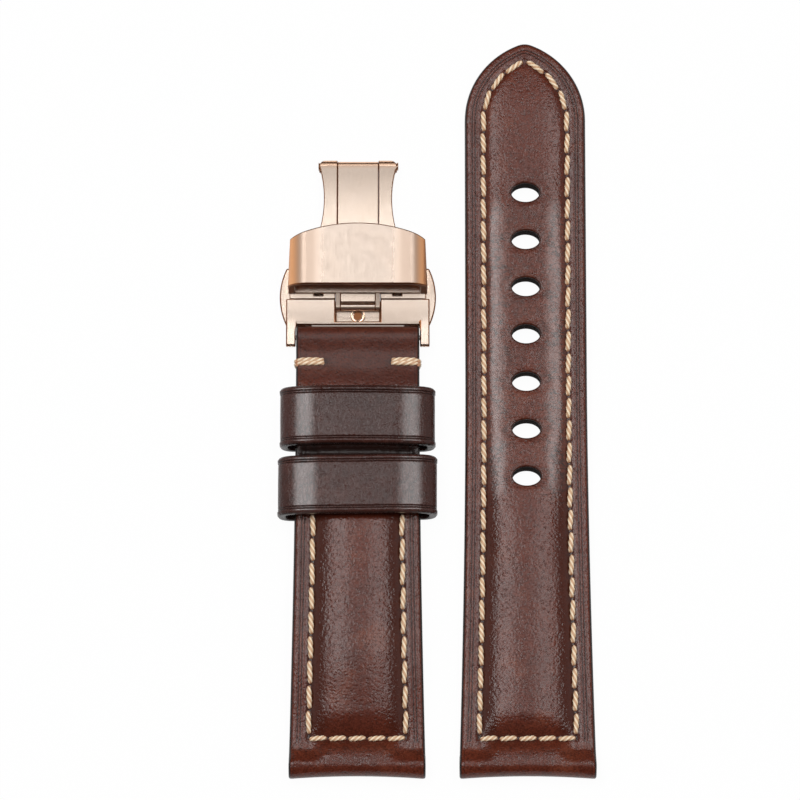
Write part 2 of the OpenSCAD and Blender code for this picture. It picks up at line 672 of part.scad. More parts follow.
// Middle blade, flush with the lower one, with a barrel at each end
tongue_wide_s = notch_far_s + 2 * slide_gap;
module tongue_blade() color(ROSE_GOLD) on_short() difference() {
    union() {
        arched(base_top_r - tongue_t, base_top_r) union() {
            translate([-tongue_w / 2, tongue_wide_s]) square([tongue_w, far_s - tongue_wide_s]);
            translate([-barrel_hw, near_s]) square([2 * barrel_hw, far_s - near_s]);
        }
        rod(far_s, far_z, far_knuckle_r, -tongue_w / 2, tongue_w / 2);
        rod(near_s, near_z, near_barrel_r, -barrel_hw, barrel_hw);
    }
    rod(far_s, far_z, far_pin_d / 2 + running_gap, -reach, reach);
    rod(near_s, near_z, near_pin_d / 2 + running_gap, -reach, reach);
}
module near_hinge_pin() color(ROSE_GOLD) on_short()
    rod(near_s, near_z, near_pin_d / 2, -ear_in - ear_t, ear_in + ear_t);

// Cover: floor with two hinge ears, bridge, catches and stud
floor_mid_z = arch_at(mid_s, floor_top_r);
cover_under_z = floor_mid_z + passage_h;
cover_top_z = cover_under_z + cover_t;
stud_chamfer = 0.3;
bow_r = (pow(cover_far_w / 2, 2) + pow(cover_bow, 2)) / (2 * cover_bow);
module cover_outline() intersection() {
    beyond = 2 * cover_bow; // past the bow, so that only the bow ends the cover
    beyond_w = cover_far_w - (cover_w - cover_far_w) * beyond / cover_len;
    translate([0, cover_corner_s + cover_bow - bow_r]) circle(bow_r);
    polygon([[-cover_w / 2, cover_s], [cover_w / 2, cover_s],
             [beyond_w / 2, cover_corner_s + beyond], [-beyond_w / 2, cover_corner_s + beyond]]);
}
ear_root_len = 2; // the ears run this far under the cover's floor
ear_heel_len = 1.4;
ear_heel_depth = 0.9; // depth of the ears below the floor, near their root
module cover_ear() {
    heel_s = cover_s + ear_heel_len;
    root_s = cover_s + ear_root_len;
    across(ear_in, ear_in + ear_t) {
        translate([near_s, near_z]) circle(near_barrel_r);
        polygon([[near_s, near_z - near_barrel_r], [near_s, near_z + near_barrel_r],
                 [cover_s + eps, arch_at(cover_s, floor_top_r)], [root_s, arch_at(root_s, floor_r + eps)],
                 [heel_s, arch_at(heel_s, floor_r - ear_heel_depth)]]);
    }
}
module cover_floor() color(ROSE_GOLD) on_short() difference() {
    union() {
        arched(floor_r, floor_top_r) intersection() {
            cover_outline();
            translate([-cover_gap_w / 2, 0]) square([cover_gap_w, 2 * reach]);
        }
        both_sides() cover_ear();
    }
    rod(near_s, near_z, near_pin_d / 2 + fit_gap, -reach, reach);
}
module cover_bridge() color(ROSE_GOLD) on_short() difference() {
    intersection() {
        linear_extrude(cover_top_z) cover_outline();
        along(cover_s - eps, cover_corner_s + cover_bow + eps) difference() {
            rounded_block(cover_w, cover_top_z, cover_r);
            translate([0, -cover_under_z]) rounded_block(cover_gap_w, 2 * cover_under_z, cover_r - cover_t);
        }
    }
    arch_rod(floor_r);
}
module cover_catches() color(ROSE_GOLD) on_short() intersection() {
    both_sides() translate([catch_x - catch_w / 2, catch_s - catch_w / 2, 0])
        cube([catch_w, catch_w, cover_top_z]);
    difference() {
        arch_rod(floor_r);
        arch_rod(button_mid_r - button_t / 2 + slide_gap);
    }
}
module strap_stud() color(ROSE_GOLD) on_short() on_arch(cover_s + stud_from_edge, floor_top_r) {
    cylinder(d = stud_d, h = stud_h - stud_chamfer);
    translate([0, 0, stud_h - stud_chamfer])
        cylinder(d1 = stud_d, d2 = stud_d - 2 * stud_chamfer, h = stud_chamfer);
}

// Long half
function long_top(x, s) =
    edge_t + nose_bulge(s) + pad(x, s, long_inset(x, s), long_half_w(s), long_pad_end);
function long_mid(x, s) = lining_t + pad(x, s, long_inset(x, s), long_half_w(s), long_pad_end);

module strap_holes() for (i = [0:hole_count - 1])
    translate([0, long_len - hole_from_tip - i * hole_pitch, -eps]) linear_extrude(2 * (edge_t + pad_h)) {
        flat = hole_w - hole_h;
        for (x = [-flat / 2, flat / 2]) translate([x, 0]) circle(d = hole_h);
        square([flat, hole_h], center = true);
    }

module long_top_leather() color(LEATHER) on_long() difference() {
    union() {
        slab([for (s = long_rows) [for (x = long_cols(s, 0)) [x, s, long_top(x, s)]]],
             [for (s = long_rows) [for (x = long_cols(s, 0)) [x, s, long_mid(x, s)]]]);
        rod(nose_r, nose_r, nose_r, -long_half_w(nose_r), long_half_w(nose_r));
    }
    lug_bore();
    strap_holes();
}

module long_filler() color(PADDING) on_long() difference() {
    rows = [for (s = long_rows) if (s > pad_start_s && s < long_pad_end - pad_rise_len) s];
    slab([for (s = rows) [for (x = long_cols(s, pad_col)) [x, s, long_mid(x, s)]]],
         [for (s = rows) [for (x = long_cols(s, pad_col)) [x, s, lining_t]]]);
    strap_holes();
}

module long_lining() color(LINING) on_long() difference() {
    slab([for (s = long_rows) [for (x = long_cols(s, 0)) [x, s, lining_t]]],
         [for (s = long_rows) [for (x = long_cols(s, 0)) [x, s, 0]]]);
    rod(nose_r, nose_r, nose_r, -reach, reach);
    strap_holes();
}

// The seam of the long half climbs one side to the middle of the tip
seam_side_len = tip_start - seam_s;
seam_tip_r = tip_side_r - seam_inset;
seam_tip_angle = acos(tip_off / seam_tip_r);
seam_len = seam_side_len + seam_tip_r * seam_tip_angle * PI / 180;
long_stitches = round((seam_len - thread_w) / long_stitch_pitch);
function long_seam(l, side) =
    l <= seam_side_len
    ? [side * (long_half_w(seam_s + l) - seam_inset), seam_s + l, edge_t + thread_rest]
    : let (a = (l - seam_side_len) / seam_tip_r * 180 / PI)
      [side * (seam_tip_r * cos(a) - tip_off), tip_start + seam_tip_r * sin(a), edge_t + thread_rest];

module long_edge_stitches() color(THREAD) on_long() {
    pitch = (seam_len - thread_w) / long_stitches;
    for (side = [-1, 1]) for (i = [0:long_stitches - 1]) let (l = thread_w + i * pitch)
        stitch(long_seam(l, side), long_seam(l + pitch - stitch_gap, side), thread_w);
    cross_seam(long_half_w(seam_s) - seam_inset, edge_t + thread_rest);
}

short_top_leather();
short_filler();
short_lining();
short_edge_stitches();
short_bar_tacks();
fixed_keeper();
floating_keeper();
clasp_bar_tube();
clasp_bar_pins();
clasp_bar_spring();
clasp_frame();
base_blade();
frame_rivet();
far_hinge_pin();
left_button();
right_button();
left_button_spring();
right_button_spring();
tongue_blade();
near_hinge_pin();
cover_floor();
cover_bridge();
cover_catches();
strap_stud();
long_top_leather();
long_filler();
long_lining();
long_edge_stitches();
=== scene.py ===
"""Two halves of a padded leather watch strap with a folding clasp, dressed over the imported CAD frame.

Lengths are in millimetres until a mesh is made. Across a strap half runs x, along it runs s from the
watch case's end, and z is up. Every surface is a grid of points worked out as whole arrays.
"""

import logging
import math
from collections.abc import Callable
from dataclasses import dataclass, field
from enum import Enum

import bmesh
import bpy
import numpy as np
from mathutils import Matrix, Vector


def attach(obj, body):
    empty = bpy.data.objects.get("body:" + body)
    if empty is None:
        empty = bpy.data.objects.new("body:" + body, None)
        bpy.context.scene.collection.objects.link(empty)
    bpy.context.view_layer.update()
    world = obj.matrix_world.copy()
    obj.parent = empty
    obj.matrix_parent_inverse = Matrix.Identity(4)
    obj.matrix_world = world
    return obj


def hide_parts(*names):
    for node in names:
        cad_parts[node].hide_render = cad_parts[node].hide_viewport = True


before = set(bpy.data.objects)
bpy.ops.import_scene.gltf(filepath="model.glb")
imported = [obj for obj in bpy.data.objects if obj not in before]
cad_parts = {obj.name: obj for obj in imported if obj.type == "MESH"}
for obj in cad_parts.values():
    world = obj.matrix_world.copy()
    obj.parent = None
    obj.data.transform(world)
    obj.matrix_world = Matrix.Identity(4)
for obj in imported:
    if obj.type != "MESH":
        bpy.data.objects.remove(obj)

Array = np.ndarray
Colour = tuple[float, float, float]
MM = 0.001
MERGE, TINY = 0.002, 0.0001  # points nearer than the first become one; shorter edges than the second go
SHARP = 50.0  # edges of the soft pieces over this many degrees are shaded sharp
DEEP_INSET = 5.0  # a mark for leather that is far from any edge
LONG_LEN = 122.0  # length of the long half, whose middle is at y = 0
SHORT_X, LONG_X = -12.75, 14.55  # middle lines of the halves
ORIGIN = np.array([SHORT_X, -LONG_LEN / 2.0, 0.0])  # the middle of the short half's end
BAR_S, BAR_Z = 72.45, 2.2  # the clasp's bar
CREASES = (1.2, 1.7)  # insets of the leather's pair of creases
PLIES = 3  # waves round the thread
SQUARE = ((-1, -1), (1, -1), (1, 1), (-1, 1))
LOG = logging.getLogger("strap")


class Body(str, Enum):
    """The moving bodies of the CAD model."""

    SHORT_HALF = "short_half"
    KEEPER_RING = "keeper_ring"
    CLASP_BASE = "clasp_base"
    LEFT_PUSH = "left_push"
    RIGHT_PUSH = "right_push"
    TONGUE = "tongue"
    COVER = "cover"
    LONG_HALF = "long_half"


class Finish(str, Enum):
    """The record's material slots."""

    STRAP = "strap_leather"
    LINING = "lining_leather"
    KEEPER = "keeper_leather"
    THREAD = "thread"
    GOLD = "rose_gold"
    STEEL = "bar_steel"


def ease(t: Array | float) -> Array:
    """Smooth step: 3t squared less 2t cubed, with t held between 0 and 1."""
    c = np.clip(t, 0.0, 1.0)
    return c * c * (3.0 - 2.0 * c)


def rise(t: Array | float) -> Array:
    """A quarter of an arch: 1 less the square of 1 - t, with t held between 0 and 1."""
    return 1.0 - (1.0 - np.clip(t, 0.0, 1.0)) ** 2


def blend(a: float, b: float, t: Array | float) -> Array:
    """Goes from a to b on a smooth step."""
    return a + (b - a) * ease(t)


def bell(distance: Array, width: float) -> Array:
    """Gauss curve: e to the power of minus the square of distance over width."""
    return np.exp(-((distance / width) ** 2))


def rounding(inset: Array, radius: float) -> Array:
    """How far a rounded edge lies below its face: radius less the height of a quarter circle."""
    gap = np.clip(radius - inset, 0.0, radius)
    return radius - np.sqrt(radius**2 - gap**2)


def ripple(x: Array, s: Array, seed: float) -> Array:
    """Slow unevenness between about -1 and 1: a sum of four sine waves of unlike lengths and directions."""
    return (
        0.4 * np.sin(0.31 * s + 0.17 * x + seed)
        + 0.3 * np.sin(0.53 * s - 0.29 * x + 2.1 * seed)
        + 0.2 * np.sin(0.97 * s + 0.41 * x + 3.7 * seed)
        + 0.1 * np.sin(1.71 * s - 0.83 * x + 5.3 * seed)
    )


@dataclass
class Shell:
    """A surface gathered from grids of points, which closes where their edges meet.

    Args:
        name: The piece's name.
    """

    name: str
    points: list[Array] = field(default_factory=list)
    quads: list[Array] = field(default_factory=list)
    slots: list[Array] = field(default_factory=list)
    marks: dict[str, list[Array]] = field(default_factory=dict)
    count: int = 0

    def grid(
        self, points: Array, slot: int = 0, around: bool = False, skip: Array | None = None, **marks: Array
    ) -> None:
        """Adds a grid of points with a face between each four neighbours.

        Args:
            points: Rows by columns by 3.
            slot: The material slot of its faces.
            around: Whether the last column joins the first.
            skip: Marks faces that are left out, rows - 1 by columns - 1.
            marks: Values at the points, by name, that materials read.
        """
        rows, cols = points.shape[:2]
        ids = self.count + np.arange(rows * cols).reshape(rows, cols)
        if around:
            ids = np.concatenate([ids, ids[:, :1]], axis=1)
        quads = np.stack([ids[:-1, :-1], ids[:-1, 1:], ids[1:, 1:], ids[1:, :-1]], axis=-1)
        quads = quads.reshape(-1, 4) if skip is None else quads[~skip]
        for key in set(marks) | set(self.marks):
            past = self.marks.setdefault(key, [np.zeros(self.count)])
            value = marks.get(key, 0.0)
            past.append(np.broadcast_to(np.asarray(value, dtype=float), (rows, cols)).ravel())
        self.points.append(points.reshape(-1, 3))
        self.quads.append(quads)
        self.slots.append(np.full(len(quads), slot))
        self.count += rows * cols

    def build(self, *finishes: bpy.types.Material) -> bpy.types.Object:
        """Makes the object, with its doubles merged and its faces outwards.

        Args:
            finishes: The materials, in the order of the slots.

        Returns:
            The new object.
        """
        mesh = bpy.data.meshes.new(self.name)
        points = np.concatenate(self.points) * MM
        mesh.from_pydata(points.tolist(), [], np.concatenate(self.quads).tolist())
        mesh.polygons.foreach_set("material_index", np.concatenate(self.slots).astype(np.int32))
        for key, values in self.marks.items():
            layer = mesh.attributes.new(key, "FLOAT", "POINT")
            layer.data.foreach_set("value", np.concatenate(values).astype(np.float32))
        shell = bmesh.new()
        shell.from_mesh(mesh)
        bmesh.ops.remove_doubles(shell, verts=shell.verts, dist=MERGE * MM)
        bmesh.ops.dissolve_degenerate(shell, edges=shell.edges, dist=TINY * MM)
        bmesh.ops.recalc_face_normals(shell, faces=shell.faces)
        shell.to_mesh(mesh)
        shell.free()
        mesh.shade_smooth()
        mesh.set_sharp_from_angle(angle=math.radians(SHARP))
        for finish in finishes:
            mesh.materials.append(finish)
        piece = bpy.data.objects.new(self.name, mesh)
        bpy.context.scene.collection.objects.link(piece)
        return piece


def settle(piece: bpy.types.Object, body: Body, finish: Finish, *nodes: str) -> None:
    """Puts a piece on its body, in the place of its CAD nodes, and reports it.

    Args:
        piece: The finished object.
        body: The body that it rides on.
        finish: The record's slot that it takes its finish from; not used.
        nodes: The CAD nodes that it stands for.
    """
    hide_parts(*nodes)
    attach(piece, body.value)
    LOG.info("%s: %d faces, for %s", piece.name, len(piece.data.polygons), ", ".join(nodes))


class Val:
    """A shader socket with arithmetic: each operator adds one Math node to its graph."""

    def __init__(self, graph: "Graph", socket: bpy.types.NodeSocket) -> None:
        """Wraps a socket of that graph."""
        self.graph = graph
        self.socket = socket

    def math(self, operation: str, *others: "Val | float") -> "Val":
        """Adds a Math node with this value as its first input."""
        return self.graph.node("ShaderNodeMath", {"operation": operation}, dict(enumerate((self, *others))))

    def __add__(self, other: "Val | float") -> "Val":
        """Adds."""
        return self.math("ADD", other)

    __radd__ = __add__

    def __sub__(self, other: "Val | float") -> "Val":
        """Subtracts."""
        return self.math("SUBTRACT", other)

    def __mul__(self, other: "Val | float") -> "Val":
        """Multiplies."""
        return self.math("MULTIPLY", other)

    __rmul__ = __mul__

    def low(self, other: "Val | float") -> "Val":
        """The smaller of the two."""
        return self.math("MINIMUM", other)

    def high(self, other: "Val | float") -> "Val":
        """The larger of the two."""
        return self.math("MAXIMUM", other)

    def size(self) -> "Val":
        """The value without its sign."""
        return self.math("ABSOLUTE")

    def between(self, start: float, end: float, low: float = 0.0, high: float = 1.0) -> "Val":
        """Smooth step from low at start to high at end."""
        settings = {"interpolation_type": "SMOOTHSTEP"}
        return self.graph.node("ShaderNodeMapRange", settings, {0: self, 1: start, 2: end, 3: low, 4: high})

    def line(self, middle: float, width: float) -> "Val":
        """1 at the middle, and 0 from that width off."""
        return (self - middle).size().between(width, 0.0)


Wire = Val | float | tuple[float, ...]
Stretch = tuple[float, float, float]


class Graph:
    """Builds a node tree, one method for every node."""

    def __init__(self, tree: bpy.types.NodeTree) -> None:
        """Empties the tree."""
        self.tree = tree
        tree.nodes.clear()

    def node(
        self,
        kind: str,
        settings: dict[str, object] | None = None,
        inputs: dict[int | str, Wire] | None = None,
        out: int | str = 0,
    ) -> Val:
        """Adds a node.

        Args:
            kind: The node's type.
            settings: Its properties, set first.
            inputs: Values or links of its sockets, by place or name.
            out: The output that is handed back.

        Returns:
            That output.
        """
        made = self.tree.nodes.new(kind)
        for key, value in (settings or {}).items():
            setattr(made, key, value)
        for key, value in (inputs or {}).items():
            if isinstance(value, Val):
                self.tree.links.new(value.socket, made.inputs[key])
            elif isinstance(value, tuple) and made.inputs[key].type == "RGBA":
                made.inputs[key].default_value = (*value, 1.0)
            else:
                made.inputs[key].default_value = value
        return Val(self, made.outputs[out] if made.outputs else None)

    def mark(self, name: str) -> Val:
        """Reads one of a shell's marks."""
        return self.node("ShaderNodeAttribute", {"attribute_name": name}, out="Fac")

    def place(self) -> Val:
        """Object coordinates, in metres."""
        return self.node("ShaderNodeTexCoord", out="Object")

    def parts(self, vector: Val) -> list[Val]:
        """A vector's x, y and z."""
        return [self.node("ShaderNodeSeparateXYZ", {}, {0: vector}, out=axis) for axis in "XYZ"]

    def ray(self, kind: str) -> Val:
        """1 for rays of that kind, else 0."""
        return self.node("ShaderNodeLightPath", out=f"Is {kind} Ray")

    def stretched(self, size: float, stretch: Stretch) -> Val:
        """Object coordinates in units of that many millimetres, longer by those factors."""
        scale = tuple(1.0 / (size * MM * k) for k in stretch)
        return self.node("ShaderNodeMapping", {}, {0: self.place(), 3: scale})

    def noise(
        self, size: float, detail: float = 3.0, stretch: Stretch = (1.0, 1.0, 1.0), rough: float = 0.5
    ) -> Val:
        """Noise in object coordinates.

        Args:
            size: Size of its blotches in millimetres.
            detail: Number of finer layers.
            stretch: How much longer they are in each direction.
            rough: Strength of the finer layers.

        Returns:
            A value about 0.5.
        """
        inputs = {"Vector": self.stretched(size, stretch), "Scale": 1.0, "Detail": detail, "Roughness": rough}
        return self.node("ShaderNodeTexNoise", {}, inputs)

    def cells(self, size: float, feature: str = "F1") -> Val:
        """Distance pattern of a Voronoi texture with cells of that size in millimetres."""
        inputs = {"Vector": self.place(), "Scale": 1.0 / (size * MM)}
        return self.node("ShaderNodeTexVoronoi", {"feature": feature}, inputs)

    def cracks(self, size: float, stretch: Stretch) -> Val:
        """Distance from wandering crack lines, as a share of the size of the fields between them."""
        place = self.stretched(size, stretch)
        waves = {"Vector": place, "Scale": 1.7, "Detail": 2.0}
        wander = self.node("ShaderNodeTexNoise", {}, waves, out="Color")
        place = self.node("ShaderNodeVectorMath", {"operation": "ADD"}, {0: place, 1: wander})
        fields = {"Vector": place, "Scale": 1.0}
        return self.node("ShaderNodeTexVoronoi", {"feature": "DISTANCE_TO_EDGE"}, fields)

    def mix(self, share: Wire, a: Wire, b: Wire) -> Val:
        """Mixes two colours.

        Args:
            share: Share of the second.
            a: The first colour.
            b: The second colour.

        Returns:
            The mixed colour.
        """
        return self.node("ShaderNodeMix", {"data_type": "RGBA"}, {0: share, 6: a, 7: b}, out=2)

    def bump(self, height: Val, depth: float) -> Val:
        """Normal of a surface whose relief is that height times depth, in millimetres."""
        return self.node("ShaderNodeBump", {}, {"Strength": 1.0, "Distance": depth * MM, "Height": height})


def new_material(name: str) -> tuple[bpy.types.Material, Graph]:
    """Makes a material with an empty graph."""
    material = bpy.data.materials.new(name)
    material.use_nodes = True
    return material, Graph(material.node_tree)


def surface(graph: Graph, sockets: dict[str, Wire]) -> None:
    """Ends a material's graph in a Principled BSDF with those sockets."""
    shader = graph.node("ShaderNodeBsdfPrincipled", {}, sockets)
    graph.node("ShaderNodeOutputMaterial", {}, {"Surface": shader})


MARKS = ("inset", "pit", "shade", "worn", "burnish", "dull")


@dataclass(frozen=True)
class StrapLeather:
    """Waxed pull-up leather: grain, slow mottling, dark creases, needle holes and painted edges, with painted
    shade and painted sheen where its marks ask for them.
    """

    name: str
    dark: Colour
    middle: Colour
    light: Colour
    deep: Colour = (0.044, 0.009, 0.0045)
    edge: Colour = (0.010, 0.006, 0.005)
    roughness: float = 0.26
    grain: float = 0.05
    wrinkles: float = 0.008
    coat: float = 0.6
    gloss: float = 0.34
    fold_way: Stretch = (1.7, 0.7, 1.0)

    def make(self) -> bpy.types.Material:
        """Makes the material."""
        material, g = new_material(self.name)
        inset, pit, shade, worn, burnish, dull = (g.mark(key) for key in MARKS)
        cloud = g.noise(9.0, 4.0, (1.0, 1.7, 1.0))
        fleck = g.noise(1.3, 4.0, (1.0, 1.3, 1.0), 0.65)
        speck = g.noise(0.3, 3.0, rough=0.7)
        tone = (cloud * 0.4 + fleck * 0.3 + speck * 0.3).between(0.38, 0.62)
        colour = g.mix(tone, self.dark, self.middle)
        colour = g.mix(g.noise(4.5, 5.0, (1.3, 1.0, 1.0), 0.6).between(0.5, 0.72) * 0.7, colour, self.light)
        # lighter where the leather is pulled up, and painted sheen where the lamps' highlights fall
        colour = g.mix(worn.between(0.0, 1.0) * 0.5, colour, self.light)
        # painted shade on the padding's shoulders and under the keepers, mottled by the flecks
        mottled_rub_and_shade = burnish + (fleck - 0.5) * 0.8 * burnish
        colour = g.mix(mottled_rub_and_shade.between(0.1, 1.0) * 0.75, colour, self.deep)
        pores = g.cells(0.5).between(0.55, 0.1) * g.noise(1.1, 3.0).between(0.3, 0.6)
        colour = g.mix((pores * 0.6 + speck.between(0.52, 0.4) * 0.5).low(0.75), colour, self.deep)
        # painted shadow, nearly black, in the gap between the keepers
        colour = g.mix(burnish.between(1.1, 1.6) * 0.85, colour, self.edge)
        crack = g.cracks(1.3, self.fold_way).between(0.13, 0.0) * g.noise(1.8).between(0.38, 0.54) * worn
        colour = g.mix(crack * 0.85, colour, self.edge)
        # darker on the bare end past the keepers
        colour = g.mix(dull * 0.35, colour, self.deep)
        crease = inset.line(CREASES[0], 0.17).high(inset.line(CREASES[1], 0.17))
        # painted shade in the needle holes, along the seams' valleys and at the holes' rims; the creases are
        # dark lines of their own
        colour = g.mix(crease.high(pit).high(shade) * 0.85, colour, self.edge)
        rim = (inset + (g.noise(0.8, 2.0) - 0.5) * 0.12).between(0.42, 0.2)
        colour = g.mix(rim, colour, self.edge)
        folds = g.noise(0.7, 4.0, self.fold_way, 0.6)
        pebble = g.cells(0.6, "SMOOTH_F1")
        grain = (g.noise(0.16) * 0.25 + g.noise(0.4) * 0.9 + pebble * 0.7 - pores * 0.5) * self.grain
        relief = grain + (folds.between(0.44, 0.58) - crack) * self.wrinkles * worn
        matt = dull * 0.2 + burnish.between(1.1, 1.6) * 0.15 - burnish.between(0.0, 1.0) * 0.06
        rough = self.roughness + matt + (g.noise(2.6, 4.0) - 0.5) * 0.1 + (speck - 0.5) * 0.2
        sockets = {"Base Color": colour, "Roughness": rough, "Normal": g.bump(relief, 1.0)}
        sockets |= {"Coat Weight": worn.between(0.45, 0.9) * self.coat, "Coat Roughness": 0.28}
        surface(g, sockets | {"Specular IOR Level": self.gloss})
        return material


@dataclass(frozen=True)
class CutLeather:
    """Raw fibres in the punched holes, dyed dark and painted darker still as the shade inside the holes."""

    name: str = "cut_leather"
    dark: Colour = (0.010, 0.005, 0.004)
    light: Colour = (0.035, 0.017, 0.012)

    def make(self) -> bpy.types.Material:
        """Makes the material."""
        material, g = new_material(self.name)
        fibre = g.noise(0.25, 4.0, (1.0, 1.0, 1.6), 0.7)
        colour = g.mix(fibre.between(0.35, 0.75), self.dark, self.light)
        rough = 0.85 + (fibre - 0.5) * 0.2
        sockets = {"Base Color": colour, "Roughness": rough, "Normal": g.bump(fibre, 0.06)}
        surface(g, sockets | {"Specular IOR Level": 0.12})
        return material


@dataclass(frozen=True)
class LiningLeather:
    """Soft matt calf that lies on the wrist, with a close nap and darker painted edges."""

    name: str = "nubuck_lining"
    dark: Colour = (0.10, 0.045, 0.026)
    light: Colour = (0.17, 0.085, 0.050)
    edge: Colour = (0.012, 0.007, 0.006)

    def make(self) -> bpy.types.Material:
        """Makes the material."""
        material, g = new_material(self.name)
        tone = g.noise(5.0, 5.0).between(0.35, 0.65) * 0.6 + g.noise(0.5, 4.0) * 0.4
        colour = g.mix(tone, self.dark, self.light)
        colour = g.mix(g.mark("inset").between(0.4, 0.15), colour, self.edge)
        relief = g.cells(0.3).between(0.0, 0.25) * 0.5 + g.noise(0.12, 3.0)
        rough = 0.62 + (g.noise(1.5, 3.0) - 0.5) * 0.2
        surface(g, {"Base Color": colour, "Roughness": rough, "Normal": g.bump(relief, 0.03)})
        return material


@dataclass(frozen=True)
class SaddleThread:
    """Waxed pale thread whose plies are marked on the mesh, with fine fibres, painted shade in the grooves
    between the plies and at the ends that go into the leather.
    """

    name: str = "saddle_thread"
    light: Colour = (1.0, 0.82, 0.60)
    gap: Colour = (0.55, 0.28, 0.13)
    aged: Colour = (0.62, 0.40, 0.21)
    painted_end_shade: Colour = (0.40, 0.14, 0.05)

    def make(self) -> bpy.types.Material:
        """Makes the material."""
        material, g = new_material(self.name)
        ply, end = g.mark("ply"), g.mark("end")
        # painted shade in the grooves between the plies
        colour = g.mix(ply.between(0.6, -0.3) * 0.8, self.light, self.gap)
        colour = g.mix(g.noise(1.6, 3.0).between(0.4, 0.75) * 0.3, colour, self.aged)
        # painted shade where the thread goes into the leather
        colour = g.mix(end.between(0.0, 1.0) * 0.8, colour, self.painted_end_shade)
        fibre = g.noise(0.09, 3.0, (1.0, 1.0, 1.0), 0.7)
        rough = 0.48 + (fibre - 0.5) * 0.3
        surface(g, {"Base Color": colour, "Roughness": rough, "Normal": g.bump(fibre, 0.05)})
        return material


@dataclass(frozen=True)
class PolishedMetal:
    """Plated metal, polished, with hair lines and a slow waviness; on the cover, painted reflections and
    painted shade by place.

    Args:
        name: The material's name.
        colour: The plating's colour.
        tint: A second colour, in blotches.
        roughness: How matt it is.
        cover: Whether painted reflections darken the cover toward its sides and far edge, and painted shade
            dims its top.
        painted_top_shade: Painted shade that dims the cover's top.
        painted_blush: Painted reflection beside the cover's middle.
        painted_copper: Painted reflection near its sides.
        brown: Painted dark reflection of its outermost edges.
        painted_far_rim: Painted reflection along its far edge.
    """

    name: str
    colour: Colour
    tint: Colour
    roughness: float = 0.24
    cover: bool = False
    painted_top_shade: Colour = (0.08, 0.06, 0.05)
    painted_blush: Colour = (0.44, 0.34, 0.275)
    painted_copper: Colour = (0.84, 0.43, 0.21)
    brown: Colour = (0.36, 0.16, 0.07)
    painted_far_rim: Colour = (0.86, 0.50, 0.30)

    def make(self) -> bpy.types.Material:
        """Makes the material."""
        material, g = new_material(self.name)
        tone = g.noise(6.0, 3.0).between(0.35, 0.65)
        colour = g.mix(tone * 0.35, self.colour, self.tint)
        rough = self.roughness
        if self.cover:
            x, y, z = g.parts(g.place())
            away = (x - SHORT_X * MM).size()
            high = z.between(5.0 * MM, 7.0 * MM)
            # painted shade dims the cover's top
            colour = g.mix(high * 0.24, colour, self.painted_top_shade)
            # painted reflections in bands toward the cover's sides
            painted_bands = ((5.0, 7.5, self.painted_blush), (8.9, 10.6, self.painted_copper), (10.9, 11.5, self.brown))
            for near, far, shade in painted_bands:
                colour = g.mix(away.between(near * MM, far * MM) * high, colour, shade)
            # painted reflection: a warm line along the far edge
            colour = g.mix(y.between(39.6 * MM, 40.9 * MM) * 0.8, colour, self.painted_far_rim)
            rough = away.between(5.0 * MM, 8.0 * MM) * high * 0.2 + self.roughness
        hair = g.noise(0.2, 2.0, (1.0, 20.0, 1.0))
        rough = rough + (g.noise(1.2, 4.0) - 0.5) * 0.08 + (hair - 0.5) * 0.08
        wave = g.bump(g.noise(3.0, 2.0), 0.003)
        surface(g, {"Base Color": colour, "Roughness": rough, "Metallic": 1.0, "Normal": wave})
        return material


@dataclass
class Plan:
    """Places on a strap half, as rows along it and columns across it.

    Args:
        x: Distance across from its middle.
        s: Distance along.
        inset: Distance from its edge.
        run: Length along the seam.
    """

    x: Array
    s: Array
    inset: Array
    run: Array

    def rows(self, start: int, stop: int | None = None) -> "Plan":
        """Some of its rows."""
        return Plan(*(a[start:stop] for a in vars(self).values()))

    def joined(self, other: "Plan") -> "Plan":
        """Its rows, and then the other's."""
        return Plan(*(np.concatenate(pair) for pair in zip(vars(self).values(), vars(other).values())))


def plain(inset: Array) -> Array:
    """Insets for leather without creases: inside its painted rim all of it lies past them."""
    return np.where(inset > 0.6, 2.2, inset)


def mirrored(x: Array, s: Array) -> Array:
    """Places on the right side, then the same on the left, as x and s."""
    return np.concatenate([np.stack([x, s], -1), np.stack([-x, s], -1)])


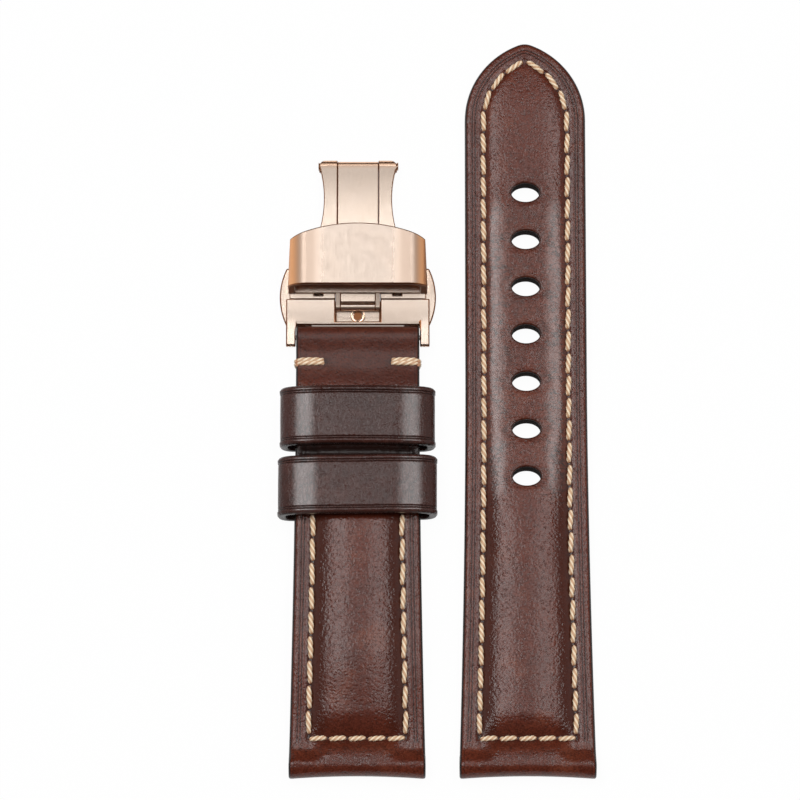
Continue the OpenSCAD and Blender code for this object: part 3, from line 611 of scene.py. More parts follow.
@dataclass
class StrapHalf:
    """What both halves share: outline, seams, leathers and the wrap round the watch case's bar."""

    place_x: float
    tail_w: float
    pad_end: float
    pad_fall: float
    stitch_pitch: float
    seed: float
    lug_w: float = 22.0
    taper_len: float = 66.0
    lining_t: float = 1.2
    edge_t: float = 2.8
    pad_h: float = 1.35
    border_w: float = 3.5
    nose_r: float = 2.1
    bore_r: float = 1.0
    seam_inset: float = 3.0
    seam_s: float = 6.4
    thread_w: float = 0.75
    thread_r: float = 0.42
    stitch_gap: float = 0.3
    slant: float = 0.13
    cross_stitches: int = 5
    shoulder: float = 6.1
    edge_round: float = 0.55
    lining_round: float = 0.4
    wall_steps: int = 4

    @property
    def near_edge(self) -> Array:
        """Insets of the outer columns, close together at the rounded edge, the crease and the seam."""
        border = [0, 0.1, 0.25, 0.55, 0.9, 1.06, 1.13, 1.2, 1.27, 1.35, 1.45, 1.55, 1.63, 1.7, 1.77, 1.85]
        seam = [2.1, 2.35, 2.55, 2.7, 2.85, 3.0, 3.15, 3.3, 3.45, 3.6, 3.8, 4.05, 4.35, 4.7, 5.15, 5.6]
        return np.array(border + seam)

    def half_w(self, s: Array | float) -> Array:
        """Half the width: it narrows by a power curve over the taper, then stays."""
        narrow = np.clip(1.0 - np.asarray(s, dtype=float) / self.taper_len, 0.0, 1.0) ** 1.8
        return (self.tail_w + (self.lug_w - self.tail_w) * narrow) / 2.0

    def under(self, s: Array) -> Array:
        """Height of the underside."""
        return np.zeros_like(s)

    def thick(self, s: Array) -> Array:
        """Thickness of both leathers without the padding."""
        return np.full_like(s, self.edge_t)

    def middle(self, s: Array) -> Array:
        """Height of the joint between the leathers: the lining's share of the thickness."""
        return self.under(s) + self.lining_t / self.edge_t * self.thick(s)

    def columns(self, half: Array) -> Array:
        """Insets of the columns of rows with those half widths: set ones, then equal shares."""
        edge = np.repeat(self.near_edge[None, :], len(half), 0)
        inner = self.shoulder + (half - self.shoulder) * np.linspace(0.0, 1.0, 10)[None, :]
        return np.concatenate([edge, inner], 1)

    def straight(self, rows: Array) -> Plan:
        """Rows square across the strap."""
        s = rows[:, None]
        half = self.half_w(s)
        inset = self.columns(half)
        return self.both_sides(half - inset, np.repeat(s, inset.shape[1], 1), inset, s - self.seam_s)

    @staticmethod
    def both_sides(x: Array, s: Array, inset: Array, run: Array) -> Plan:
        """Mirrors columns that go from the edge to the middle into full rows."""
        run = np.broadcast_to(run, x.shape)

        def full(a: Array, sign: float = 1.0) -> Array:
            """Left half, then the right half without the middle column."""
            return np.concatenate([sign * a, a[:, -2::-1]], axis=1)

        return Plan(full(x, -1.0), full(s), full(inset), full(run))

    def across_pad(self, p: Plan) -> Array:
        """Distance from the middle as a share of the padding's half width."""
        return np.abs(p.x) / np.maximum(self.pad_half_w(p.s), 0.01)

    def pad(self, p: Plan) -> Array:
        """The padding's dome: 1 less a power of u, all to the power 0.75, where u is the share across."""
        u = np.clip(self.across_pad(p), 0.0, 1.0)
        ends = rise((p.s - self.seam_s - 0.5) / 4.2) * rise((self.pad_end - p.s) / self.pad_fall)
        flat = self.flatter(p.s)
        return (self.pad_h - 0.75 * flat) * (1.0 - u ** (2.0 + 1.2 * flat)) ** 0.75 * ends

    def flatter(self, s: Array) -> Array:
        """Share by which the padding is flatter in its middle and rounder at its sides."""
        return np.zeros_like(s)

    def pad_half_w(self, s: Array) -> Array:
        """Half width of the padding."""
        return self.half_w(s) - self.border_w

    def nose(self, p: Plan) -> Array:
        """The wrap's fall behind the bar: it bulges as far as the seam, and dips at the corners."""
        t = np.clip((p.s - self.nose_r) / (self.seam_s - 0.25 - self.nose_r), 0.0, 1.0)
        corner = ease((np.abs(p.x) - 4.2) / 3.6)
        fall = (1.0 - t**2.5) * (1.0 - corner) + (1.0 - ease(t * 1.4)) * corner
        return (2.0 * self.nose_r - self.edge_t) * fall

    @property
    def cross_half_w(self) -> float:
        """Half the length of the seam across."""
        return float(self.half_w(self.seam_s)) - self.seam_inset

    def pits(self, p: Plan) -> Array:
        """Needle holes: bells at the ends of the stitches of each seam."""
        pitch = self.stitch_pitch
        off = (p.run - self.thread_w + self.stitch_gap / 2.0 + pitch / 2.0) % pitch - pitch / 2.0
        side = bell(off, 0.34) * bell(p.inset - self.seam_inset - 0.1, 0.36) * (p.run > 0.2)
        width = self.cross_half_w
        step = 2.0 * width / self.cross_stitches
        off = (p.x + width + step / 2.0) % step - step / 2.0
        cross = bell(off, 0.36) * bell(p.s - self.seam_s - 0.1, 0.34) * (np.abs(p.x) < width + 0.4)
        return np.maximum(side, cross)

    def channel(self, p: Plan) -> Array:
        """The valley that the seams draw into the leather."""
        side = bell(p.inset - self.seam_inset, 0.55) * ease((p.s - self.seam_s + 0.6) / 0.6)
        width = self.cross_half_w
        return np.maximum(side, bell(p.s - self.seam_s, 0.6) * ease((width + 0.6 - np.abs(p.x)) / 0.6))

    def creased(self, p: Plan) -> Array:
        """Share of the creases: none on the wrap, and all of them past it."""
        return ease((p.s - 5.2) / 1.2)

    def relief(self, p: Plan) -> Array:
        """What the leather's face adds to its level: border, crease, seams, needle holes and unevenness."""
        crease = sum(bell(p.inset - at, 0.09) for at in CREASES) * 0.07 * self.creased(p)
        border = 0.08 * np.sin(np.pi * np.clip(p.inset / self.seam_inset, 0.0, 1.0)) ** 2
        inner = ease((p.inset - self.border_w) / 2.0)
        return (
            border
            - crease
            - 0.1 * self.channel(p)
            - 0.22 * self.pits(p)
            + 0.05 * inner * ripple(p.x, p.s, self.seed)
            - rounding(p.inset, self.edge_round)
        )

    def top(self, p: Plan) -> Array:
        """Height of the outer leather."""
        return self.under(p.s) + self.thick(p.s) + self.nose(p) + self.pad(p) + self.relief(p)

    def marks(self, p: Plan) -> dict[str, Array]:
        """What the leather's material reads."""
        fade = self.creased(p)
        return {
            "inset": np.where(fade > 0.5, p.inset, plain(p.inset)),
            "pit": self.pits(p),
            "shade": 0.5 * self.channel(p) * fade,
            "worn": self.worn(p),
            "burnish": self.burnish(p),
            "dull": self.dull(p),
        }

    def burnish(self, p: Plan) -> Array:
        """Where painted shade darkens the leather: along the padding's shoulders, which turn away from the
        lamps, from the seam up.
        """
        u = self.across_pad(p)
        side = ease((u - 0.5) / 0.35) * ease((1.25 - u) / 0.2)
        side = side * (1.0 - 0.75 * self.flatter(p.s))
        return side * ease((p.s - self.seam_s + 0.5) / 2.0) * ease((self.pad_end + 2.0 - p.s) / 3.0)

    def worn(self, p: Plan) -> Array:
        """Where the leather was bent and pulled up to a lighter colour."""
        return 0.5 * bell(p.s - 4.4, 1.2)

    def dull(self, p: Plan) -> Array:
        """Where the leather isn't waxed."""
        return np.zeros(p.x.shape)

    def xyz(self, p: Plan, z: Array | float) -> Array:
        """Points in the frame."""
        return np.stack(np.broadcast_arrays(p.x + self.place_x, p.s - LONG_LEN / 2.0, z), axis=-1)

    @property
    def join_s(self) -> float:
        """Where the wrap meets the lining."""
        return self.nose_r + math.sqrt(self.nose_r**2 - (self.nose_r - self.lining_t) ** 2)

    def round_bar(
        self, radius: float, centre: tuple[float, float], angle: Array, bulge: float
    ) -> tuple[Array, dict[str, Array]]:
        """A wrap round a bar: a circle with rounded edges.

        Args:
            radius: The circle's radius.
            centre: Its middle as s and z.
            angle: Turn of each row.
            bulge: How much further it goes to the front in the strap's middle.

        Returns:
            Its points and its marks.
        """
        flat = self.straight(np.full(len(angle), centre[0]))
        radii = radius - 0.8 * rounding(flat.inset, 0.45)
        arch = bulge * (1.0 - (flat.x / self.half_w(0.0)) ** 2) * np.clip(-np.cos(angle), 0.0, 1.0)
        s = centre[0] + radii * np.cos(angle) + arch
        plan = Plan(flat.x, s, flat.inset, s - self.seam_s)
        return self.xyz(plan, centre[1] + radii * np.sin(angle)), self.marks(plan)

    def wrap(self) -> tuple[Array, dict[str, Array]]:
        """Points and marks of the wrap round the watch case's bar, from the lining round to the top."""
        start = 2.0 * np.pi - math.asin((self.nose_r - self.lining_t) / self.nose_r)
        angle = np.linspace(start, np.pi / 2.0, 34)[:, None]
        points, marks = self.round_bar(self.nose_r, (self.nose_r, self.nose_r), angle, 0.45)
        return points, marks | {"shade": np.zeros(points.shape[:2])}

    def cap(self, shell: Shell, loops: list[Array], centre: tuple[float, float], radius: float) -> None:
        """Closes both sides of a wrap with rings from its outline to the bore, and lines the bore.

        Args:
            shell: Where the grids go.
            loops: Points of the outline on the left and on the right, in the frame.
            centre: The bore's place as s and z.
            radius: The bore's radius.
        """
        hub = np.array([centre[0] - LONG_LEN / 2.0, centre[1]])
        rims = []
        for loop in loops:
            away = loop[:, 1:] - hub
            away /= np.linalg.norm(away, axis=1, keepdims=True)
            rim = np.concatenate([loop[:, :1], hub + radius * away], axis=1)
            rims.append(rim)
            shares = np.array([0.0, 0.35, 0.7, 0.93, 1.0])[:, None, None]
            shell.grid(loop + (rim - loop) * shares, around=True, inset=0.0)
        shares = np.linspace(0.0, 1.0, 3)[:, None, None]
        shell.grid(rims[0] + (rims[1] - rims[0]) * shares, around=True, inset=0.0)

    def cap_front(self, shell: Shell, front: Array, top: Array, lower: Array) -> None:
        """Closes both sides of the wrap round the watch case's bar.

        Args:
            shell: Where the grids go.
            front: The wrap.
            top: The upper rows as far as the lining's front.
            lower: The first row of the lower face.
        """
        loops = []
        for col in (0, -1):
            down = self.wall_points(top[-1, col], lower[col])
            loops.append(np.concatenate([front[:-1, col], top[:, col], down]))
        self.cap(shell, loops, (self.nose_r, self.nose_r), self.bore_r)

    def walls(self, shell: Shell, upper: Array, lower: Array) -> None:
        """Joins two grids along both their sides with straight walls.

        Args:
            shell: Where the grids go.
            upper: Rows by columns by 3.
            lower: The same for the lower face.
        """
        shares = np.linspace(0.0, 1.0, self.wall_steps + 1)[None, :, None]
        for col in (0, -1):
            a, b = upper[:, col][:, None], lower[:, col][:, None]
            shell.grid(a + (b - a) * shares, inset=0.0)

    def wall_points(self, upper: Array, lower: Array) -> Array:
        """The inner points of one row of a side wall."""
        shares = np.linspace(0.0, 1.0, self.wall_steps + 1)[1:-1, None]
        return upper + (lower - upper) * shares

    def lining_front(self, shell: Shell, upper: Array, lower: Array) -> None:
        """The lining's front end: down the wrap's circle, then back along the underside.

        Args:
            shell: Where the grids go.
            upper: The first row of the upper face.
            lower: The first row of the lower face.
        """
        turn = np.linspace(math.asin((self.nose_r - self.lining_t) / self.nose_r), math.radians(66.0), 9)
        s = self.nose_r + (self.nose_r + 0.02) * np.cos(turn) - LONG_LEN / 2.0
        z = self.nose_r - (self.nose_r + 0.02) * np.sin(turn)
        s, z = np.append(s, s[-1] + 0.1), np.append(z, lower[len(lower) // 2, 2])
        z = np.maximum(z[:, None], lower[:, 2])
        arc = np.stack(np.broadcast_arrays(upper[:, 0], s[:, None], z), axis=-1)
        arc[0] = upper
        back = arc[-1] + (lower - arc[-1]) * np.linspace(0.0, 1.0, 5)[:, None, None]
        shell.grid(arc, inset=DEEP_INSET)
        shell.grid(back, inset=DEEP_INSET)
        for col in (0, -1):
            down = self.wall_points(upper[col], lower[col])[::-1]
            loop = np.concatenate([arc[:, col], back[1:, col], down])
            middle = loop.mean(axis=0)
            shares = np.array([0.0, 0.6, 1.0])[:, None, None]
            shell.grid(loop + (middle - loop) * shares, around=True, inset=0.0)

    def stitch_ends(self) -> tuple[Array, Array]:
        """Where each stitch goes in and comes out, as x and s."""
        raise NotImplementedError

    def cross_ends(self) -> tuple[Array, Array]:
        """The same for the seam across the strap."""
        width = self.cross_half_w
        step = 2.0 * width / self.cross_stitches
        x = -width + step * np.arange(self.cross_stitches)
        gap = self.stitch_gap / 2.0
        s = np.full_like(x, self.seam_s)
        return np.stack([x + gap, s - 0.12], -1), np.stack([x + step - gap, s + 0.16], -1)

    def seam(self, name: str, finish: bpy.types.Material) -> bpy.types.Object:
        """All the stitches of the half as twisted thread.

        Args:
            name: The piece's name.
            finish: The thread.

        Returns:
            The new object.
        """
        points = []
        for sides, cross in zip(self.stitch_ends(), self.cross_ends()):
            x, s = np.concatenate([sides, cross]).T
            level = self.under(s) + self.thick(s)
            points.append(np.column_stack([x + self.place_x, s - LONG_LEN / 2.0, level]))
        shell = Shell(name)
        twisted(shell, *points, self.thread_r, 0.12)
        return shell.build(finish)


def twisted(shell: Shell, start: Array, end: Array, radius: float, lift: float, turns: float = 1.6) -> None:
    """Adds twisted stitches: a tube on each chord, whose radius has a wave per ply that turns along it.

    The middle line rises by a flat arch, a power of a sine, and its ends go down into the leather.

    Args:
        shell: Where the grids go.
        start: First points, n by 3.
        end: Last points, n by 3.
        radius: The thread's radius.
        lift: Height of the middle line above the chord.
        turns: Measure of the twist over a stitch; at 1.6 it goes round once.
    """
    t = np.linspace(0.0, 1.0, 15)
    turn = np.linspace(0.0, 2.0 * np.pi, 12, endpoint=False)
    along = end - start
    length = np.linalg.norm(along, axis=1, keepdims=True)
    along = along / length
    side = np.cross(along, np.array([0.0, 0.0, 1.0]))
    side /= np.linalg.norm(side, axis=1, keepdims=True)
    up = np.cross(side, along)
    line = start[:, None] + along[:, None] * (length[:, None] * t[None, :, None])
    arch = np.sin(np.pi * t) ** 0.4
    line = line + up[:, None] * (lift * arch - 0.42 * (1.0 - arch))[None, :, None]
    phase = PLIES * turn[None, :] - 2.0 * np.pi * turns * PLIES * t[:, None] / 1.6
    ply = np.cos(phase)
    size = radius * (0.62 + 0.38 * np.sin(np.pi * t) ** 0.5)[:, None] * (0.96 + 0.13 * ply)
    wide, high = size[..., None] * np.cos(turn)[:, None], size[..., None] * (np.sin(turn) * 0.92)[:, None]
    for centre, across, over in zip(line, side, up):
        points = centre[:, None] + wide * across + high * over
        tips = np.repeat(centre[[0, -1], None], len(turn), axis=1)
        points = np.concatenate([tips[:1], points, tips[1:]])
        mark = np.concatenate([ply[:1], ply, ply[-1:]])
        # the ends' mark, where the thread takes painted shade
        painted_end_shade = np.concatenate([[1.0], np.abs(2.0 * t - 1.0) ** 9, [1.0]])[:, None]
        shell.grid(points, around=True, ply=mark, end=painted_end_shade * np.ones_like(mark))


@dataclass
class LongHalf(StrapHalf):
    """The half with the pointed tip and the oval holes."""

    tip_s: float = 109.0
    tip_side_r: float = 13.7243
    tip_off: float = 3.8743
    point_s: float = 119.0
    point_r: float = 3.0
    hole_s: float = 96.6
    hole_pitch: float = 7.9
    hole_count: int = 7
    hole_flat: float = 0.75
    hole_r: float = 1.55
    hole_rim: float = 0.28
    lining_rim: float = 0.2
    hole_rows: int = 7
    hole_cols: int = 8

    def row_places(self) -> Array:
        """Rows from the top of the wrap to the tip's start, 20 to each hole's pitch."""
        step = self.hole_pitch / 20.0
        first = self.hole_s - math.floor((self.hole_s - 7.0) / step) * step
        near = np.linspace(self.nose_r, first, 13)[:-1]
        near[np.argmin(np.abs(near - self.join_s))] = self.join_s
        return np.concatenate([near, np.arange(first, self.tip_s - 0.1, step)])

    def tip_rows(self) -> Plan:
        """Rows along the outline's normals: rays from a side arc's centre, then from the point's centre.

        The columns past the crease close up, so that all of them reach the middle of the tip.
        """
        join = math.atan((self.point_s - self.tip_s) / self.tip_off)
        arc = np.linspace(0.0, join, 40)[:, None]
        point = np.linspace(join, np.pi / 2.0, 12)[1:, None]
        full = self.tip_side_r - self.tip_off
        inset = self.columns(np.array([[full]]))
        kept = 1.85

        def closed_up(depth: Array) -> Array:
            """Insets that end at that depth."""
            return np.where(inset <= kept, inset, kept + (inset - kept) * (depth - kept) / (full - kept))

        side = closed_up(self.tip_side_r - self.tip_off / np.cos(arc))
        ray = self.tip_side_r - side
        cap = np.repeat(closed_up(np.array([[self.point_r]])), len(point), 0)
        end_ray = self.point_r - cap
        x = np.concatenate([ray * np.cos(arc) - self.tip_off, end_ray * np.cos(point)])
        s = np.concatenate([self.tip_s + ray * np.sin(arc), self.point_s + end_ray * np.sin(point)])
        seam_r = self.tip_side_r - self.seam_inset
        run = self.tip_s - self.seam_s + seam_r * np.minimum(np.concatenate([arc, point]), self.seam_angle)
        return self.both_sides(np.maximum(x, 0.0), s, np.concatenate([side, cap]), run)

    @property
    def seam_angle(self) -> float:
        """Angle at which the seam's arcs meet in the middle."""
        return math.acos(self.tip_off / (self.tip_side_r - self.seam_inset))

    def pad_half_w(self, s: Array) -> Array:
        """Half width of the padding, which ends in the two arcs of the tip."""
        radius, past = self.tip_side_r - self.border_w, np.maximum(s - self.tip_s, 0.0)
        arc = np.sqrt(np.maximum(radius**2 - past**2, 0.0))
        return np.where(s < self.tip_s, self.half_w(s) - self.border_w, arc - self.tip_off)

    def hole_distance(self, p: Plan) -> Array:
        """Distance from the rim of the nearest hole, and 0 inside it."""
        last = self.hole_s - (self.hole_count - 1) * self.hole_pitch
        index = np.clip(np.round((p.s - last) / self.hole_pitch), 0, self.hole_count - 1)
        wide = self.hole_r + self.hole_flat
        away = np.hypot(p.x * self.hole_r / wide, p.s - last - index * self.hole_pitch)
        return np.maximum(away - self.hole_r, 0.0)

    def top(self, p: Plan) -> Array:
        """Height of the outer leather, drawn in a little round the holes."""
        return super().top(p) - 0.16 * bell(self.hole_distance(p), 0.7)

    def marks(self, p: Plan) -> dict[str, Array]:
        """Adds painted shade at the holes' rims to the leather's marks."""
        marks = super().marks(p)
        marks["shade"] = np.maximum(marks["shade"], 0.7 * bell(self.hole_distance(p), self.hole_rim))
        return marks

    def flatter(self, s: Array) -> Array:
        """The padding is flatter where the holes are."""
        return ease((s - 38.0) / 24.0)

    def worn(self, p: Plan) -> Array:
        """Cracked by bending about the holes; along the padding's sides it also takes painted sheen, a
        lighter colour and a coat where the lamps' highlights fall.
        """
        u = self.across_pad(p)
        zone = ease((p.s - 40.0) / 10.0) * ease((102.0 - p.s) / 12.0)
        return np.maximum(super().worn(p), zone * (0.3 + 0.7 * bell(u - 0.75, 0.3)))

    def oval(self, turn: Array, radius: float) -> Array:
        """Where a ray from a hole's middle meets an ellipse with that half height."""
        wide = radius + self.hole_flat
        reach = radius * wide / np.hypot(radius * np.cos(turn), wide * np.sin(turn))
        return np.stack([reach * np.cos(turn), reach * np.sin(turn)], axis=-1)

    def windows(self, plan: Plan) -> tuple[Array, list[tuple[float, Array]]]:
        """Finds the window of faces round each hole.

        Args:
            plan: Rows along the half.

        Returns:
            Which faces the windows take, and each hole's place along with its window's outline, as x and s
            from the hole's middle.
        """
        rows, cols = plan.x.shape
        skip = np.zeros((rows - 1, cols - 1), dtype=bool)
        left, right = cols // 2 - self.hole_cols, cols // 2 + self.hole_cols
        outlines = []
        for k in range(self.hole_count):
            centre = self.hole_s - k * self.hole_pitch
            row = int(np.argmin(np.abs(plan.s[:, 0] - centre)))
            low, high = row - self.hole_rows, row + self.hole_rows
            skip[low:high, left:right] = True
            index = [(low, j) for j in range(left, right)] + [(i, right) for i in range(low, high)]
            index += [(high, j) for j in range(right, left, -1)] + [(i, left) for i in range(high, low, -1)]
            i, j = np.array(index).T
            outlines.append((centre, np.stack([plan.x[i, j], plan.s[i, j] - centre], axis=-1)))
        return skip, outlines

    def around_hole(self, ring: Array, centre: float) -> Plan:
        """Places that are given as x and s from a hole's middle."""
        x, s = ring[..., 0], ring[..., 1] + centre
        return Plan(x, s, self.half_w(s) - np.abs(x), s - self.seam_s)

    def holes(
        self,
        shell: Shell,
        outlines: list[tuple[float, Array]],
        height: Callable[[Plan], Array],
        wall_to: float,
        rim: float,
    ) -> None:
        """Fills the window round each hole with rings and lines the hole as far as a level.

        Args:
            shell: Where the grids go.
            outlines: The windows' outlines.
            height: Height of the face at places of a plan.
            wall_to: Level that the wall goes down to, or up to.
            rim: Radius of the rim's rounding.
        """
        shares = (np.linspace(0.0, 1.0, 9) ** 0.8)[:, None, None]
        depth = np.linspace(0.0, 1.0, 5)[:, None]
        bend = np.linspace(0.0, np.pi / 2.0, 6)[1:]
        drop = np.concatenate([np.zeros(len(shares)), rim * (1.0 - np.cos(bend))])[:, None]
        for centre, outer in outlines:
            turn = np.arctan2(outer[:, 1], outer[:, 0])
            inner = self.oval(turn, self.hole_r + rim)
            round_rim = [self.oval(turn, self.hole_r + rim * (1.0 - math.sin(b))) for b in bend]
            at = self.around_hole(np.concatenate([outer + (inner - outer) * shares, round_rim]), centre)
            face = height(at)
            sign = 1.0 if wall_to < face.mean() else -1.0
            z = face - sign * drop
            marks = self.marks(at)
            marks["inset"] = np.where(drop > 0.5 * rim, 0.0, marks["inset"])
            shell.grid(self.xyz(at, z), around=True, **marks)
            shell.grid(self.xyz(at.rows(-1), z[-1:] + (wall_to - z[-1:]) * depth), slot=1, around=True)

    def floor_rings(self, shell: Shell, outlines: list[tuple[float, Array]]) -> None:
        """Fills the windows where the leathers meet with rings that end at the holes' walls."""
        for centre, outer in outlines:
            inner = self.oval(np.arctan2(outer[:, 1], outer[:, 0]), self.hole_r)
            ring = outer + (inner - outer) * np.linspace(0.0, 1.0, 4)[:, None, None]
            points = self.xyz(self.around_hole(ring, centre), self.lining_t)
            shell.grid(points, around=True, inset=DEEP_INSET)

    def plan(self) -> tuple[Plan, int]:
        """All rows from the wrap to the tip, and the row where the wrap meets the lining."""
        straight = self.straight(self.row_places())
        join = int(np.argmin(np.abs(straight.s[:, 0] - self.join_s)))
        return straight.joined(self.tip_rows()), join

    def outer_leather(self, finish: bpy.types.Material, cut: bpy.types.Material) -> bpy.types.Object:
        """The outer leather with its padding, wrapped round the bar; its holes show the second finish."""
        shell = Shell("long_half_outer_leather")
        plan, join = self.plan()
        skip, outlines = self.windows(plan)
        top = self.xyz(plan, self.top(plan))
        front, front_marks = self.wrap()
        top[0] = front[-1]
        lower = self.xyz(plan.rows(join), self.lining_t)
        self.holes(shell, outlines, self.top, self.lining_t, self.hole_rim)
        shell.grid(top, skip=skip, **self.marks(plan))
        shell.grid(front, **front_marks)
        shell.grid(lower, skip=skip[join:], inset=DEEP_INSET)
        self.floor_rings(shell, outlines)
        self.walls(shell, top[join:], lower)
        self.cap_front(shell, front, top[: join + 1], lower[0])
        return shell.build(finish, cut)

    def lining(self, finish: bpy.types.Material, cut: bpy.types.Material) -> bpy.types.Object:
        """The lining, whose front end follows the wrap; its cut holes show the second finish."""
        shell = Shell("long_half_lining")
        plan, join = self.plan()
        plan = plan.rows(join)
        skip, outlines = self.windows(plan)

        def underside(p: Plan) -> Array:
            """The underside is flat but for its rounded edges."""
            return rounding(p.inset, self.lining_round)

        top, bottom = self.xyz(plan, self.lining_t), self.xyz(plan, underside(plan))
        self.holes(shell, outlines, underside, self.lining_t, self.lining_rim)
        shell.grid(bottom, skip=skip, inset=plan.inset)
        shell.grid(top, skip=skip, inset=DEEP_INSET)
        self.floor_rings(shell, outlines)
        self.walls(shell, top, bottom)
        self.lining_front(shell, top[0], bottom[0])
        return shell.build(finish, cut)

    def stitch_ends(self) -> tuple[Array, Array]:
        """Each side's stitches, from the seam across to the middle of the tip."""
        seam_r = self.tip_side_r - self.seam_inset
        total = self.tip_s - self.seam_s + seam_r * self.seam_angle
        count = round((total - self.thread_w) / self.stitch_pitch)
        pitch = (total - self.thread_w) / count
        first = self.thread_w + pitch * np.arange(count)
        pairs = []
        for length, slant in ((first, self.slant), (first + pitch - self.stitch_gap, -self.slant)):
            turn = np.maximum(length - (self.tip_s - self.seam_s), 0.0) / seam_r
            s = np.minimum(length + self.seam_s, self.tip_s)
            side, ray = self.half_w(s) - self.seam_inset - slant, seam_r - slant
            x = np.where(turn > 0.0, ray * np.cos(turn) - self.tip_off, side)
            pairs.append(mirrored(x, s + ray * np.sin(turn)))
        return pairs[0], pairs[1]


@dataclass
class ShortHalf(StrapHalf):
    """The half that carries the keepers and wraps the clasp's bar."""

    lift_h: float = 1.4
    keeper_far_s: float = 63.5
    between_s: float = 53.0
    tack_s: float = 68.25
    tack_w: float = 1.3
    tack_len: float = 4.8
    tack_z: float = 0.75
    bare_t: float = 2.6
    loop_r: float = 1.85
    loop_bore_r: float = 0.95
    wrap_rows: int = 6

    @property
    def tack_ends(self) -> tuple[float, float]:
        """Where the tacks begin and end."""
        return self.tack_s - self.tack_w / 2.0, self.tack_s + self.tack_w / 2.0

    def under(self, s: Array) -> Array:
        """Height of the underside: it lifts to the keepers and comes down again to the clasp's bar."""
        near, far = self.tack_ends
        lift = blend(0.0, self.lift_h, (s - 5.0) / 16.0)
        bare = blend(self.lift_h, self.tack_z, (s - self.keeper_far_s) / (near - self.keeper_far_s))
        end = blend(self.tack_z, BAR_Z - self.loop_r, (s - far) / (BAR_S - far))
        return np.where(s <= self.keeper_far_s, lift, np.where(s <= far, bare, end))

    def thick(self, s: Array) -> Array:
        """Thickness of both leathers: a little less at the tacks, and more over the bar."""
        near, far = self.tack_ends
        bare = blend(self.edge_t, self.bare_t, (s - self.keeper_far_s) / (near - self.keeper_far_s))
        end = blend(self.bare_t, 2.0 * self.loop_r, (s - far - 0.5) / (BAR_S - far - 0.5))
        return np.where(s <= self.keeper_far_s, self.edge_t, np.where(s <= far, bare, end))

    def relief(self, p: Plan) -> Array:
        """The crease ends inside the fixed keeper, and the bare end is a little uneven."""
        inside = ease((self.keeper_far_s - p.s) / 2.0)
        end = 0.06 * ripple(p.x * 1.6, p.s * 1.4, 4.0) * ease((p.inset - 0.3) / 2.0)
        pull = 0.12 * bell(p.s - self.tack_s, 1.1) * (p.inset < self.tack_len + 1.0)
        dip = 0.6 * bell(p.s - self.between_s, 0.7) * ease(p.inset / 1.5)
        bare = end - pull - rounding(p.inset, self.edge_round)
        return super().relief(p) * inside - dip + bare * (1.0 - inside)

    def pits(self, p: Plan) -> Array:
        """Needle holes of the seams, and one at the inner end of each tack."""
        tack = bell(p.s - self.tack_s, 0.6) * bell(p.inset - self.tack_len, 0.4)
        return np.maximum(super().pits(p) * (p.s < self.keeper_far_s - 3.0), tack)

    def pad(self, p: Plan) -> Array:
        """The keepers press the padding down."""
        return super().pad(p) * (1.0 - 0.55 * ease((p.s - 41.5) / 2.5))

    def channel(self, p: Plan) -> Array:
        """The seams end inside the fixed keeper."""
        return super().channel(p) * ease((self.keeper_far_s - 1.0 - p.s) / 2.0)

    def marks(self, p: Plan) -> dict[str, Array]:
        """No crease shows on the bare end."""
        marks = super().marks(p)
        marks["inset"] = np.where(p.s > self.keeper_far_s - 1.0, plain(p.inset), marks["inset"])
        return marks

    def burnish(self, p: Plan) -> Array:
        """The leather under the keepers is rubbed darker, with painted shadow beside their edges and, nearly
        black, in the gap between them.
        """
        under = ease((p.s - 40.6) / 2.2) * ease((64.9 - p.s) / 1.6)
        return np.maximum(super().burnish(p), under * (0.8 + 0.8 * bell(p.s - self.between_s, 1.5)))

    def worn(self, p: Plan) -> Array:
        """The bare end is pulled up where it bends over the bar."""
        return np.maximum(super().worn(p), 0.35 * ease((p.s - 64.0) / 3.0))

    def dull(self, p: Plan) -> Array:
        """The bare end past the keepers is darker and rougher."""
        return np.broadcast_to(ease((p.s - 64.0) / 1.5), p.x.shape)

    def row_places(self) -> Array:
        """Rows from the top of the wrap to the top of the clasp's bar."""
        wrap = np.linspace(self.nose_r, self.join_s, self.wrap_rows + 1)
        near = np.linspace(self.join_s, 8.5, 13)[1:]
        body = np.linspace(8.5, self.keeper_far_s, 140)[1:]
        bare = np.linspace(self.keeper_far_s, self.loop_join_s, 20)[1:]
        loop = np.linspace(self.loop_join_s, BAR_S, self.wrap_rows + 1)[1:]
        return np.concatenate([wrap, near, body, bare, loop])

    @property
    def loop_join_s(self) -> float:
        """Where the clasp bar's wrap meets the lining: the joint's height meets the circle."""
        s = np.linspace(BAR_S - self.loop_r, BAR_S - 1.0, 400)
        circle = BAR_Z - np.sqrt(np.maximum(self.loop_r**2 - (s - BAR_S) ** 2, 0.0))
        return float(s[np.argmin(np.abs(circle - self.middle(s)))])

    def loop(self) -> tuple[Array, dict[str, Array]]:
        """Points and marks of the wrap round the clasp's bar, from its top round to the lining."""
        drop = float(self.middle(np.array([self.loop_join_s]))[0]) - BAR_Z
        angle = np.linspace(np.pi / 2.0, -np.pi - math.asin(drop / self.loop_r), 30)[:, None]
        return self.round_bar(self.loop_r, (BAR_S, BAR_Z), angle, 0.0)

